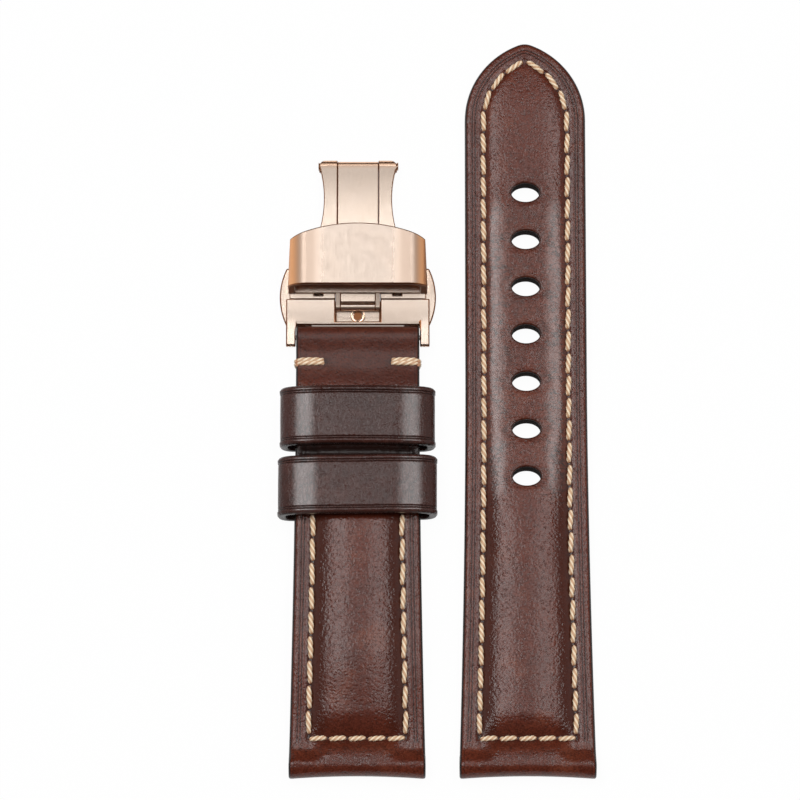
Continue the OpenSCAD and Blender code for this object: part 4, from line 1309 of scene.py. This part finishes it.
    def outer_leather(self, finish: bpy.types.Material) -> bpy.types.Object:
        """The outer leather with its padding, wrapped round both bars."""
        shell = Shell("short_half_outer_leather")
        plan = self.straight(self.row_places())
        top = self.xyz(plan, self.top(plan))
        (front, front_marks), (back, back_marks) = self.wrap(), self.loop()
        top[0], top[-1] = front[-1], back[0]
        first, last = self.wrap_rows, len(top) - 1 - self.wrap_rows
        under = plan.rows(first, last + 1)
        lower = self.xyz(under, self.middle(under.s))
        back[-1] = lower[-1]
        for points, marks in ((top, self.marks(plan)), (front, front_marks), (back, back_marks)):
            shell.grid(points, **marks)
        shell.grid(lower, inset=DEEP_INSET)
        self.walls(shell, top[first : last + 1], lower)
        self.cap_front(shell, front, top[: first + 1], lower[0])
        loops = []
        for col in (0, -1):
            up = self.wall_points(top[last, col], lower[-1, col])[::-1]
            loops.append(np.concatenate([top[last:-1, col], back[:-1, col], lower[-1:, col], up]))
        self.cap(shell, loops, (BAR_S, BAR_Z), self.loop_bore_r)
        return shell.build(finish)

    def lining(self, finish: bpy.types.Material) -> bpy.types.Object:
        """The lining between the two wraps."""
        shell = Shell("short_half_lining")
        plan = self.straight(self.row_places())
        plan = plan.rows(self.wrap_rows, -self.wrap_rows)
        top = self.xyz(plan, self.middle(plan.s))
        bottom = self.xyz(plan, self.under(plan.s) + rounding(plan.inset, self.lining_round))
        shell.grid(top, inset=DEEP_INSET)
        shell.grid(bottom, inset=plan.inset)
        self.walls(shell, top, bottom)
        self.lining_front(shell, top[0], bottom[0])
        shares = np.linspace(0.0, 1.0, self.wall_steps + 1)[:, None, None]
        shell.grid(top[-1] + (bottom[-1] - top[-1]) * shares, inset=0.0)
        return shell.build(finish)

    def stitch_ends(self) -> tuple[Array, Array]:
        """Each side's stitches, from the seam across to the sliding keeper."""
        s = self.seam_s + self.thread_w + self.stitch_pitch * np.arange(11)
        pairs = []
        for place, slant in ((s, self.slant), (s + self.stitch_pitch - self.stitch_gap, -self.slant)):
            pairs.append(mirrored(self.half_w(place) - self.seam_inset - slant, place))
        return pairs[0], pairs[1]

    def tacks(self, finish: bpy.types.Material) -> bpy.types.Object:
        """Two thick tacks beside the clasp, each of two strands, that go round the edge."""
        shell = Shell("short_half_bar_tacks")
        edge = float(self.half_w(self.tack_s))
        y = self.tack_s - LONG_LEN / 2.0
        top = self.tack_z + self.bare_t
        for side in (-1.0, 1.0):
            inner = self.place_x + side * (edge - self.tack_len)
            out = self.place_x + side * (edge + 0.02)
            start = np.array([[inner, y - 0.22, top - 0.1], [inner + side * 0.1, y + 0.28, top - 0.08]])
            end = np.array([[out, y - 0.3, top - 0.12], [out, y + 0.24, top - 0.12]])
            twisted(shell, start, end, self.thread_r, 0.12, 2.2)
            start = end + np.array([0.0, 0.0, 0.1])
            end = start + np.array([side * 0.01, 0.02, -self.bare_t])
            twisted(shell, start, end, 0.3, 0.02)
        return shell.build(finish)


@dataclass
class Keeper:
    """A leather loop: a band carried round a rounded rectangle, with a pair of creases near each edge."""

    name: str
    width: float
    bottom_t: float
    far_s: float
    askew: float
    seed: float
    wear: float
    height: float = 7.1
    thick: float = 1.3
    length: float = 9.6
    corner: float = 2.4
    creases: tuple[float, float] = (0.83, 1.17)

    def path(self, inner: bool) -> Array:
        """The loop's outline as x and z: corners as quarter circles, sides in even steps."""
        cut = self.thick if inner else 0.0
        radius = self.corner - cut
        out = self.width / 2.0 - cut - radius
        low, high = (self.bottom_t if inner else 0.0) + radius, self.height - cut - radius
        corners = []
        for x, z, first in ((out, low, -90.0), (out, high, 0.0), (-out, high, 90.0), (-out, low, 180.0)):
            turn = np.radians(np.linspace(first, first + 90.0, 13))
            corners.append(np.stack([x + radius * np.cos(turn), z + radius * np.sin(turn)], -1))
        pieces = []
        for here, there, steps in zip(corners, corners[1:] + corners[:1], (5, 48, 5, 24)):
            shares = np.linspace(0.0, 1.0, steps + 1)[1:-1, None]
            pieces += [here, here[-1] + (there[0] - here[-1]) * shares]
        path = np.concatenate(pieces)
        crown = np.clip((np.abs(path[:, 0]) - 3.0) / 7.0, 0.0, 1.2) ** 2
        path[:, 1] -= 0.6 * crown * ease((path[:, 1] - 3.0) / 2.5)
        return path

    def section(self) -> tuple[Array, Array, Array]:
        """The band's section as place along, share of the thickness and relief, right round it."""
        half, bend = self.length / 2.0, 0.42
        border = [0.42, 0.55, 0.68, 0.74, 0.79, 0.83, 0.87, 0.92, 1.0, 1.08, 1.13, 1.17, 1.21, 1.26, 1.34]
        near = np.array([*border, 1.6, 2.2, 2.8])
        face = np.concatenate([near - half, np.linspace(-1.6, 1.6, 5), half - near[::-1]])
        inset = half - np.abs(face)
        creases = sum(bell(inset - at, 0.07) for at in self.creases)
        relief = 0.1 * ease((0.95 - inset) / 0.3) - 0.1 * creases
        turn = np.radians(np.linspace(90.0, 0.0, 5))[1:]
        round_s, round_h = half - bend + bend * np.cos(turn), 1.0 - bend / self.thick * (1.0 - np.sin(turn))
        edge_s = np.concatenate([round_s, np.full(2, half), half - 0.25 + 0.25 * np.cos(turn[::-1])])
        edge_h = np.concatenate([round_h, [0.5, 0.3], 0.2 * (1.0 - np.sin(turn[::-1]))])
        back = np.linspace(half - 0.6, -half + 0.6, 7)
        s = np.concatenate([face, edge_s, back, -edge_s[::-1]])
        h = np.concatenate([np.ones_like(face), edge_h, np.zeros_like(back), edge_h[::-1]])
        return s, h, np.concatenate([relief, np.zeros(len(s) - len(face))])

    def make(self, finish: bpy.types.Material) -> bpy.types.Object:
        """Sweeps the section round the loop."""
        outer, inner = self.path(False), self.path(True)
        s, h, relief = self.section()
        across = outer - inner
        away = across / np.linalg.norm(across, axis=1, keepdims=True)
        rough = ripple(outer[:, None, 0] * 1.1, s[None, :] * 1.3, self.seed) * (outer[:, None, 1] > 1.0)
        lift = relief + 0.02 * h * rough
        x, z = (inner[:, None, k] + across[:, None, k] * h + away[:, None, k] * lift for k in (0, 1))
        along = s[None, :] + self.askew * x + 0.03 * np.sin(0.3 * x + self.seed)
        y = self.far_s - self.length / 2.0 - LONG_LEN / 2.0 + along
        near = self.length / 2.0 - np.abs(s)
        true = (0.42, 0.7, self.creases[0], 1.0, self.creases[1], 1.34, 1.6)
        drawn = (0.42, 1.0, CREASES[0], 1.45, CREASES[1], 2.0, DEEP_INSET)
        inset = np.where(h < 0.05, DEEP_INSET, np.where(h > 0.97, np.interp(near, true, drawn), 0.3))
        inset = np.broadcast_to(inset, x.shape)
        # real wear in the middle; painted sheen at the sides, where the lamps' highlights fall: lighter
        # colour, cracks and a coat
        worn = (0.42 * self.wear * bell(x, 9.0) + 0.85 * bell(np.abs(x) - 8.6, 2.4)) * (z > 5.0)
        points = np.stack([x + SHORT_X, y, z], axis=-1)
        shell = Shell(self.name)
        shell.grid(points, around=True, inset=inset, worn=worn)
        shell.grid(points[[-1, 0]], around=True, inset=inset[[-1, 0]], worn=worn[[-1, 0]])
        return shell.build(finish)


@dataclass(frozen=True)
class MetalPart:
    """One metal part of the clasp: its CAD node's shape with rounded edges.

    Args:
        node: The CAD node.
        name: The piece's name.
        body: The body that it rides on.
        width: Width of the edges' rounding.
        shape: Changes the points, given as x, s and z from the short half's axis.
        shaded: Marks the faces that take the darker finish of painted shade, from their middles.
        cuts: Places along the strap where faces are split before the shape changes.
        rim: Slot of the rounding's finish; slot 1 paints the edges with a dark reflection.
        angle: Edges sharper than this are rounded.
        merge: Points nearer than this are joined first.
    """

    node: str
    name: str
    body: Body
    width: float
    shape: Callable[[Array], Array] | None = None
    shaded: Callable[[Array], Array] | None = None
    cuts: tuple[float, ...] = ()
    rim: int = 1
    angle: float = 35.0
    merge: float = 0.001


@dataclass
class Clasp:
    """The folding clasp, whose metal parts are the CAD's with rounded edges that carry a painted dark
    reflection.
    """

    far_s: float = 101.4
    knuckle_r: float = 1.0
    ear_r: float = 1.5
    ear_h: float = 0.55
    fork_hw: float = 6.35
    corner_r: float = 1.3
    notch_hw: float = 3.8
    plate_top: float = 1.7
    steel: tuple[str, ...] = (
        "clasp_bar_tube",
        "clasp_bar_pins",
        "clasp_bar_spring",
        "left_button_spring",
        "right_button_spring",
    )

    def parts(self) -> list[MetalPart]:
        """Every part, with the width of its rounding."""
        return [
            MetalPart("clasp_frame", "clasp_frame_plate", Body.CLASP_BASE, 0.2, self.square_ears),
            MetalPart(
                "base_blade",
                "clasp_lower_blade",
                Body.CLASP_BASE,
                0.14,
                self.round_fork,
                self.in_notch,
                self.fork_cuts,
                angle=21.0,
            ),
            # The rivet's top carries a painted dark reflection and the near pin, under the cover, painted
            # shade; the rivet's rounding stays gold.
            MetalPart("frame_rivet", "clasp_rivet", Body.CLASP_BASE, 0.45, shaded=self.everywhere, rim=0),
            MetalPart("far_hinge_pin", "clasp_far_pin", Body.CLASP_BASE, 0.08, self.sink_heads),
            MetalPart("left_button", "clasp_left_button", Body.LEFT_PUSH, 0.22),
            MetalPart("right_button", "clasp_right_button", Body.RIGHT_PUSH, 0.22),
            MetalPart("tongue_blade", "clasp_middle_blade", Body.TONGUE, 0.12, self.fill_slot, self.in_notch),
            MetalPart("near_hinge_pin", "clasp_near_pin", Body.COVER, 0.05, shaded=self.everywhere),
            MetalPart("cover_floor", "clasp_cover_floor", Body.COVER, 0.06, shaded=self.in_notch),
            MetalPart(
                "cover_bridge", "clasp_cover_bridge", Body.COVER, 0.18, shaded=self.inside_cover, merge=0.06
            ),
            MetalPart("cover_catches", "clasp_cover_catches", Body.COVER, 0.08),
            MetalPart("strap_stud", "clasp_strap_stud", Body.COVER, 0.12),
        ]

    def in_notch(self, middle: Array) -> Array:
        """Faces in the frame's notch and under the cover, which take painted shade."""
        x, s, z = middle.T
        return (np.abs(x) < self.notch_hw) & (s > 74.9) & (s < 82.0) & (z < self.plate_top + 0.9)

    def inside_cover(self, middle: Array) -> Array:
        """Faces of the cover that look into the strap's passage, which take painted shade."""
        x, _, z = middle.T
        return (np.abs(x) < 10.4) & (z < 9.4)

    @staticmethod
    def everywhere(middle: Array) -> Array:
        """All faces."""
        return np.ones(len(middle), dtype=bool)

    @property
    def fork_cuts(self) -> tuple[float, ...]:
        """Places where the fork's rounded corners need points."""
        end = self.far_s + self.knuckle_r
        shares = (1.0 - math.sin(math.radians(turn)) for turn in range(0, 90, 11))
        return tuple(end - self.corner_r * share for share in shares)

    def round_fork(self, points: Array) -> Array:
        """Rounds the fork's far corners: x stays within a quarter circle in plan."""
        x, s = points[:, 0], points[:, 1]
        start = self.far_s + self.knuckle_r - self.corner_r
        fall = rounding(start + self.corner_r - s, self.corner_r)
        most = self.fork_hw - fall
        points[:, 0] = np.where(s > start, np.clip(x, -most, most), x)
        return points

    def square_ears(self, points: Array) -> Array:
        """Makes the frame's ears flat bars that go on level from the plate and end square.

        Round the bar, the upper half of each ear becomes a low power curve of the sixth degree.
        """
        away = points[:, 1:] - np.array([BAR_S, BAR_Z])
        reach = np.hypot(*away.T)
        factor = ((np.abs(away) / reach[:, None]) ** 6.0).sum(axis=1) ** (-1.0 / 6.0)
        ear = (reach > 1.3) & (reach < 1.6) & (away[:, 1] > 0.0) & (away[:, 0] < 1.0)
        flat = away * factor[:, None] * np.array([1.0, self.ear_h / self.ear_r])
        points[:, 1:] += np.where(ear[:, None], flat - away, 0.0)
        return points

    def sink_heads(self, points: Array) -> Array:
        """Lets the pin's heads stand out a little less."""
        points[:, 0] = np.clip(points[:, 0], -self.fork_hw - 0.12, self.fork_hw + 0.22)
        return points

    def fill_slot(self, points: Array) -> Array:
        """Widens the middle blade to the fork's slot, and draws its far end back a little."""
        points[:, 0] *= 1.026
        past = np.maximum(points[:, 1] - self.far_s, 0.0)
        points[:, 1] -= 0.22 * past
        return points

    def dress(self, gold: bpy.types.Material, edge: bpy.types.Material, steel: bpy.types.Material) -> None:
        """Makes every metal piece.

        Args:
            gold: Finish of the clasp.
            edge: Painted dark reflection of its edges and painted shade in its recesses.
            steel: Finish of the spring bar and the springs.
        """
        for part in self.parts():
            settle(self.rounded(part, gold, edge), part.body, Finish.GOLD, part.node)
        for node in self.steel:
            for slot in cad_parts[node].material_slots:
                slot.material = steel
            LOG.info("%s keeps its CAD shape", node)

    def shaped(self, part: MetalPart) -> bpy.types.Mesh:
        """Copies a CAD node's mesh, cuts and shapes it and joins its flat faces."""
        mesh = bpy.data.meshes.new(part.name)
        solid = bmesh.new()
        solid.from_mesh(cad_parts[part.node].data)
        bmesh.ops.remove_doubles(solid, verts=solid.verts, dist=part.merge * MM)
        for cut in part.cuts:
            whole = [*solid.verts, *solid.edges, *solid.faces]
            place = (0.0, (cut + ORIGIN[1]) * MM, 0.0)
            bmesh.ops.bisect_plane(solid, geom=whole, plane_co=place, plane_no=(0.0, 1.0, 0.0))
        if part.shape:
            solid.to_mesh(mesh)
            points = np.empty(len(mesh.vertices) * 3)
            mesh.vertices.foreach_get("co", points)
            points = part.shape(points.reshape(-1, 3) / MM - ORIGIN)
            mesh.vertices.foreach_set("co", ((points + ORIGIN) * MM).ravel())
            solid.clear()
            solid.from_mesh(mesh)
            bmesh.ops.remove_doubles(solid, verts=solid.verts, dist=0.01 * MM)
        flat = math.radians(0.6)
        bmesh.ops.dissolve_limit(solid, angle_limit=flat, verts=solid.verts, edges=solid.edges)
        solid.to_mesh(mesh)
        solid.free()
        return mesh

    def rounded(self, part: MetalPart, *finishes: bpy.types.Material) -> bpy.types.Object:
        """Makes a part with rounded edges.

        Args:
            part: Which one.
            finishes: The material of its faces, then the painted dark reflection and painted shade of its
                edges and recesses.

        Returns:
            The new object.
        """
        mesh = self.shaped(part)
        mesh.materials.clear()
        for finish in finishes:
            mesh.materials.append(finish)
        middle = np.empty(len(mesh.polygons) * 3)
        mesh.polygons.foreach_get("center", middle)
        if part.shaded:
            dark = part.shaded(middle.reshape(-1, 3) / MM - ORIGIN)
        else:
            dark = np.zeros(len(mesh.polygons), dtype=bool)
        mesh.polygons.foreach_set("material_index", dark.astype(np.int32))
        piece = bpy.data.objects.new(part.name, mesh)
        bpy.context.scene.collection.objects.link(piece)
        bevel = piece.modifiers.new("rounding", "BEVEL")
        bevel.width, bevel.segments, bevel.material = part.width * MM, 3, part.rim
        bevel.limit_method, bevel.angle_limit = "ANGLE", math.radians(part.angle)
        bevel.use_clamp_overlap, bevel.harden_normals = False, False
        even = piece.modifiers.new("even_normals", "WEIGHTED_NORMAL")
        even.keep_sharp, even.weight = True, 100
        mesh.shade_smooth()
        mesh.set_sharp_from_angle(angle=math.radians(part.angle))
        return piece


@dataclass(frozen=True)
class Studio:
    """Camera, soft lamps, floor and sky.

    Args:
        tilt: The camera's lean from straight above, in degrees.
        distance: From what it looks at, in millimetres.
        lens: Its focal length in millimetres.
        aim: What it looks at, in millimetres.
        lamp_power: Mean power of the two lamps in watts.
        lamp_size: Their width and length in metres.
        lamp_away: Their distance in metres.
        floor_z: The floor's level in metres, just under the lowest piece.
        floor_half: Half the floor's side in metres.
        sky: Brightness of the sky's light.
        low_sky: What reflections see low down.
        overhead: What they see overhead.
        white: What the camera sees.
    """

    tilt: float = 13.0
    distance: float = 1000.0
    lens: float = 277.2
    aim: tuple[float, float, float] = (-5.9, 1.6, 0.0)
    lamp_power: float = 4.9
    lamp_size: tuple[float, float] = (0.26, 0.75)
    lamp_away: float = 1.15
    floor_z: float = -0.00012
    floor_half: float = 3.0
    sky: float = 0.34
    low_sky: Colour = (0.05, 0.026, 0.016)
    overhead: Colour = (1.0, 0.98, 0.97)
    white: Colour = (1.0, 1.0, 1.0)

    def camera(self) -> None:
        """Puts the camera where the photograph was taken from."""
        data = bpy.data.cameras.new("camera")
        data.lens, data.sensor_width, data.clip_end = self.lens, 36.0, 20.0
        camera = bpy.data.objects.new("camera", data)
        lean = math.radians(self.tilt)
        back = Vector((0.0, -math.sin(lean), math.cos(lean)))
        camera.location = (Vector(self.aim) + back * self.distance) * MM
        camera.rotation_euler = back.to_track_quat("Z", "Y").to_euler()
        bpy.context.scene.collection.objects.link(camera)
        bpy.context.scene.camera = camera

    def lamps(self) -> None:
        """Two long soft lamps, one on each side of the strap; the left one is the stronger."""
        for name, side, share in (("left_lamp", -1.0, 1.1), ("right_lamp", 1.0, 0.9)):
            data = bpy.data.lights.new(name, "AREA")
            data.shape, data.size, data.size_y = "RECTANGLE", *self.lamp_size
            data.energy = self.lamp_power * share
            lamp = bpy.data.objects.new(name, data)
            away = Vector((0.3 * side, 0.18, 0.937)).normalized()
            lamp.location = away * self.lamp_away
            across = Vector((0.0, 1.0, 0.0)).cross(away).normalized()
            lamp.rotation_euler = Matrix((across, away.cross(across), away)).transposed().to_euler()
            bpy.context.scene.collection.objects.link(lamp)

    def floor(self) -> None:
        """A white floor whose shadows the camera hardly sees, and which reflections see in part."""
        mesh = bpy.data.meshes.new("floor")
        corners = [(x * self.floor_half, y * self.floor_half, self.floor_z) for x, y in SQUARE]
        mesh.from_pydata(corners, [], [(0, 1, 2, 3)])
        floor = bpy.data.objects.new("floor", mesh)
        material, g = new_material("white_floor")
        camera, glossy, through = (g.ray(kind) for kind in ("Camera", "Glossy", "Transmission"))
        seen = camera.high(glossy * 0.4).high(through)
        matt = g.node("ShaderNodeBsdfDiffuse", {}, {"Color": (0.9, 0.9, 0.9)})
        glow = g.node("ShaderNodeEmission", {}, {"Color": self.white, "Strength": 1.0})
        mixed = g.node("ShaderNodeMixShader", {}, {0: seen * 0.965, 1: matt, 2: glow})
        g.node("ShaderNodeOutputMaterial", {}, {"Surface": mixed})
        mesh.materials.append(material)
        bpy.context.scene.collection.objects.link(floor)

    def world(self) -> None:
        """An even sky for the light; reflections see it white overhead and far out, and brown elsewhere."""
        world = bpy.data.worlds.new("studio")
        world.use_nodes = True
        g = Graph(world.node_tree)
        across, along, up = g.parts(g.node("ShaderNodeTexCoord", out="Generated"))
        across = across.size()
        band = across.between(0.12, 0.04) * up.between(0.45, 0.8) * along.between(-0.28, -0.06, 0.2, 1.0)
        band = band * along.between(0.16, -0.04, 0.8, 0.95)
        shine = g.mix(band.high(across.between(0.5, 0.75) * 0.7), self.low_sky, self.overhead)
        colour = g.mix(g.ray("Glossy"), (self.sky, self.sky, self.sky), shine)
        colour = g.mix(g.ray("Camera"), colour, self.white)
        sky = g.node("ShaderNodeBackground", {}, {"Color": colour, "Strength": 1.0})
        g.node("ShaderNodeOutputWorld", {}, {"Surface": sky})
        bpy.context.scene.world = world

    def build(self) -> None:
        """Sets the whole studio up."""
        self.camera()
        self.lamps()
        self.floor()
        self.world()
        bpy.context.scene.view_settings.view_transform = "Standard"


def main() -> None:
    """Builds the studio, the two halves, the keepers and the clasp."""
    logging.basicConfig(level=logging.INFO, format="%(message)s")
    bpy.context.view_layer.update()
    Studio().build()
    strap = StrapLeather(
        name="brown_waxed_leather",
        dark=(0.075, 0.0145, 0.007),
        middle=(0.122, 0.024, 0.011),
        light=(0.165, 0.042, 0.020),
    ).make()
    band = StrapLeather(
        name="dark_keeper_leather",
        dark=(0.030, 0.010, 0.008),
        middle=(0.052, 0.016, 0.012),
        light=(0.09, 0.032, 0.024),
        fold_way=(0.5, 1.9, 1.0),
        grain=0.07,
        wrinkles=0.06,
        coat=1.0,
        gloss=0.33,
    ).make()
    lining, thread, cut = LiningLeather().make(), SaddleThread().make(), CutLeather().make()
    # the cover's plating carries painted reflections and painted shade by place
    gold = PolishedMetal("polished_rose_gold", (0.93, 0.785, 0.67), (0.90, 0.73, 0.60), cover=True).make()
    # painted dark reflection for the clasp's rounded edges, and painted shade for its recesses
    edge = PolishedMetal("rose_gold_edges", (0.26, 0.105, 0.045), (0.16, 0.06, 0.026), 0.35).make()
    steel = PolishedMetal("spring_steel", (0.56, 0.57, 0.58), (0.46, 0.47, 0.48), 0.25).make()

    short = ShortHalf(place_x=SHORT_X, tail_w=20.0, pad_end=62.7, pad_fall=3.5, stitch_pitch=4.0, seed=1.7)
    outer = short.outer_leather(strap)
    settle(outer, Body.SHORT_HALF, Finish.STRAP, "short_top_leather", "short_filler")
    settle(short.lining(lining), Body.SHORT_HALF, Finish.LINING, "short_lining")
    settle(short.seam("short_half_stitches", thread), Body.SHORT_HALF, Finish.THREAD, "short_edge_stitches")
    settle(short.tacks(thread), Body.SHORT_HALF, Finish.THREAD, "short_bar_tacks")
    fixed = Keeper("fixed_keeper_loop", 25.0, bottom_t=1.4, far_s=63.5, askew=0.0, seed=2.0, wear=0.15)
    settle(fixed.make(band), Body.SHORT_HALF, Finish.KEEPER, "fixed_keeper")
    floating = Keeper("floating_keeper_loop", 25.6, bottom_t=1.3, far_s=52.1, askew=0.01, seed=5.0, wear=0.8)
    settle(floating.make(band), Body.KEEPER_RING, Finish.KEEPER, "floating_keeper")
    Clasp().dress(gold, edge, steel)

    long = LongHalf(place_x=LONG_X, tail_w=19.7, pad_end=118.46, pad_fall=9.0, stitch_pitch=3.7, seed=3.1)
    outer = long.outer_leather(strap, cut)
    settle(outer, Body.LONG_HALF, Finish.STRAP, "long_top_leather", "long_filler")
    settle(long.lining(lining, cut), Body.LONG_HALF, Finish.LINING, "long_lining")
    settle(long.seam("long_half_stitches", thread), Body.LONG_HALF, Finish.THREAD, "long_edge_stitches")


if __name__ == "__main__":
    main()
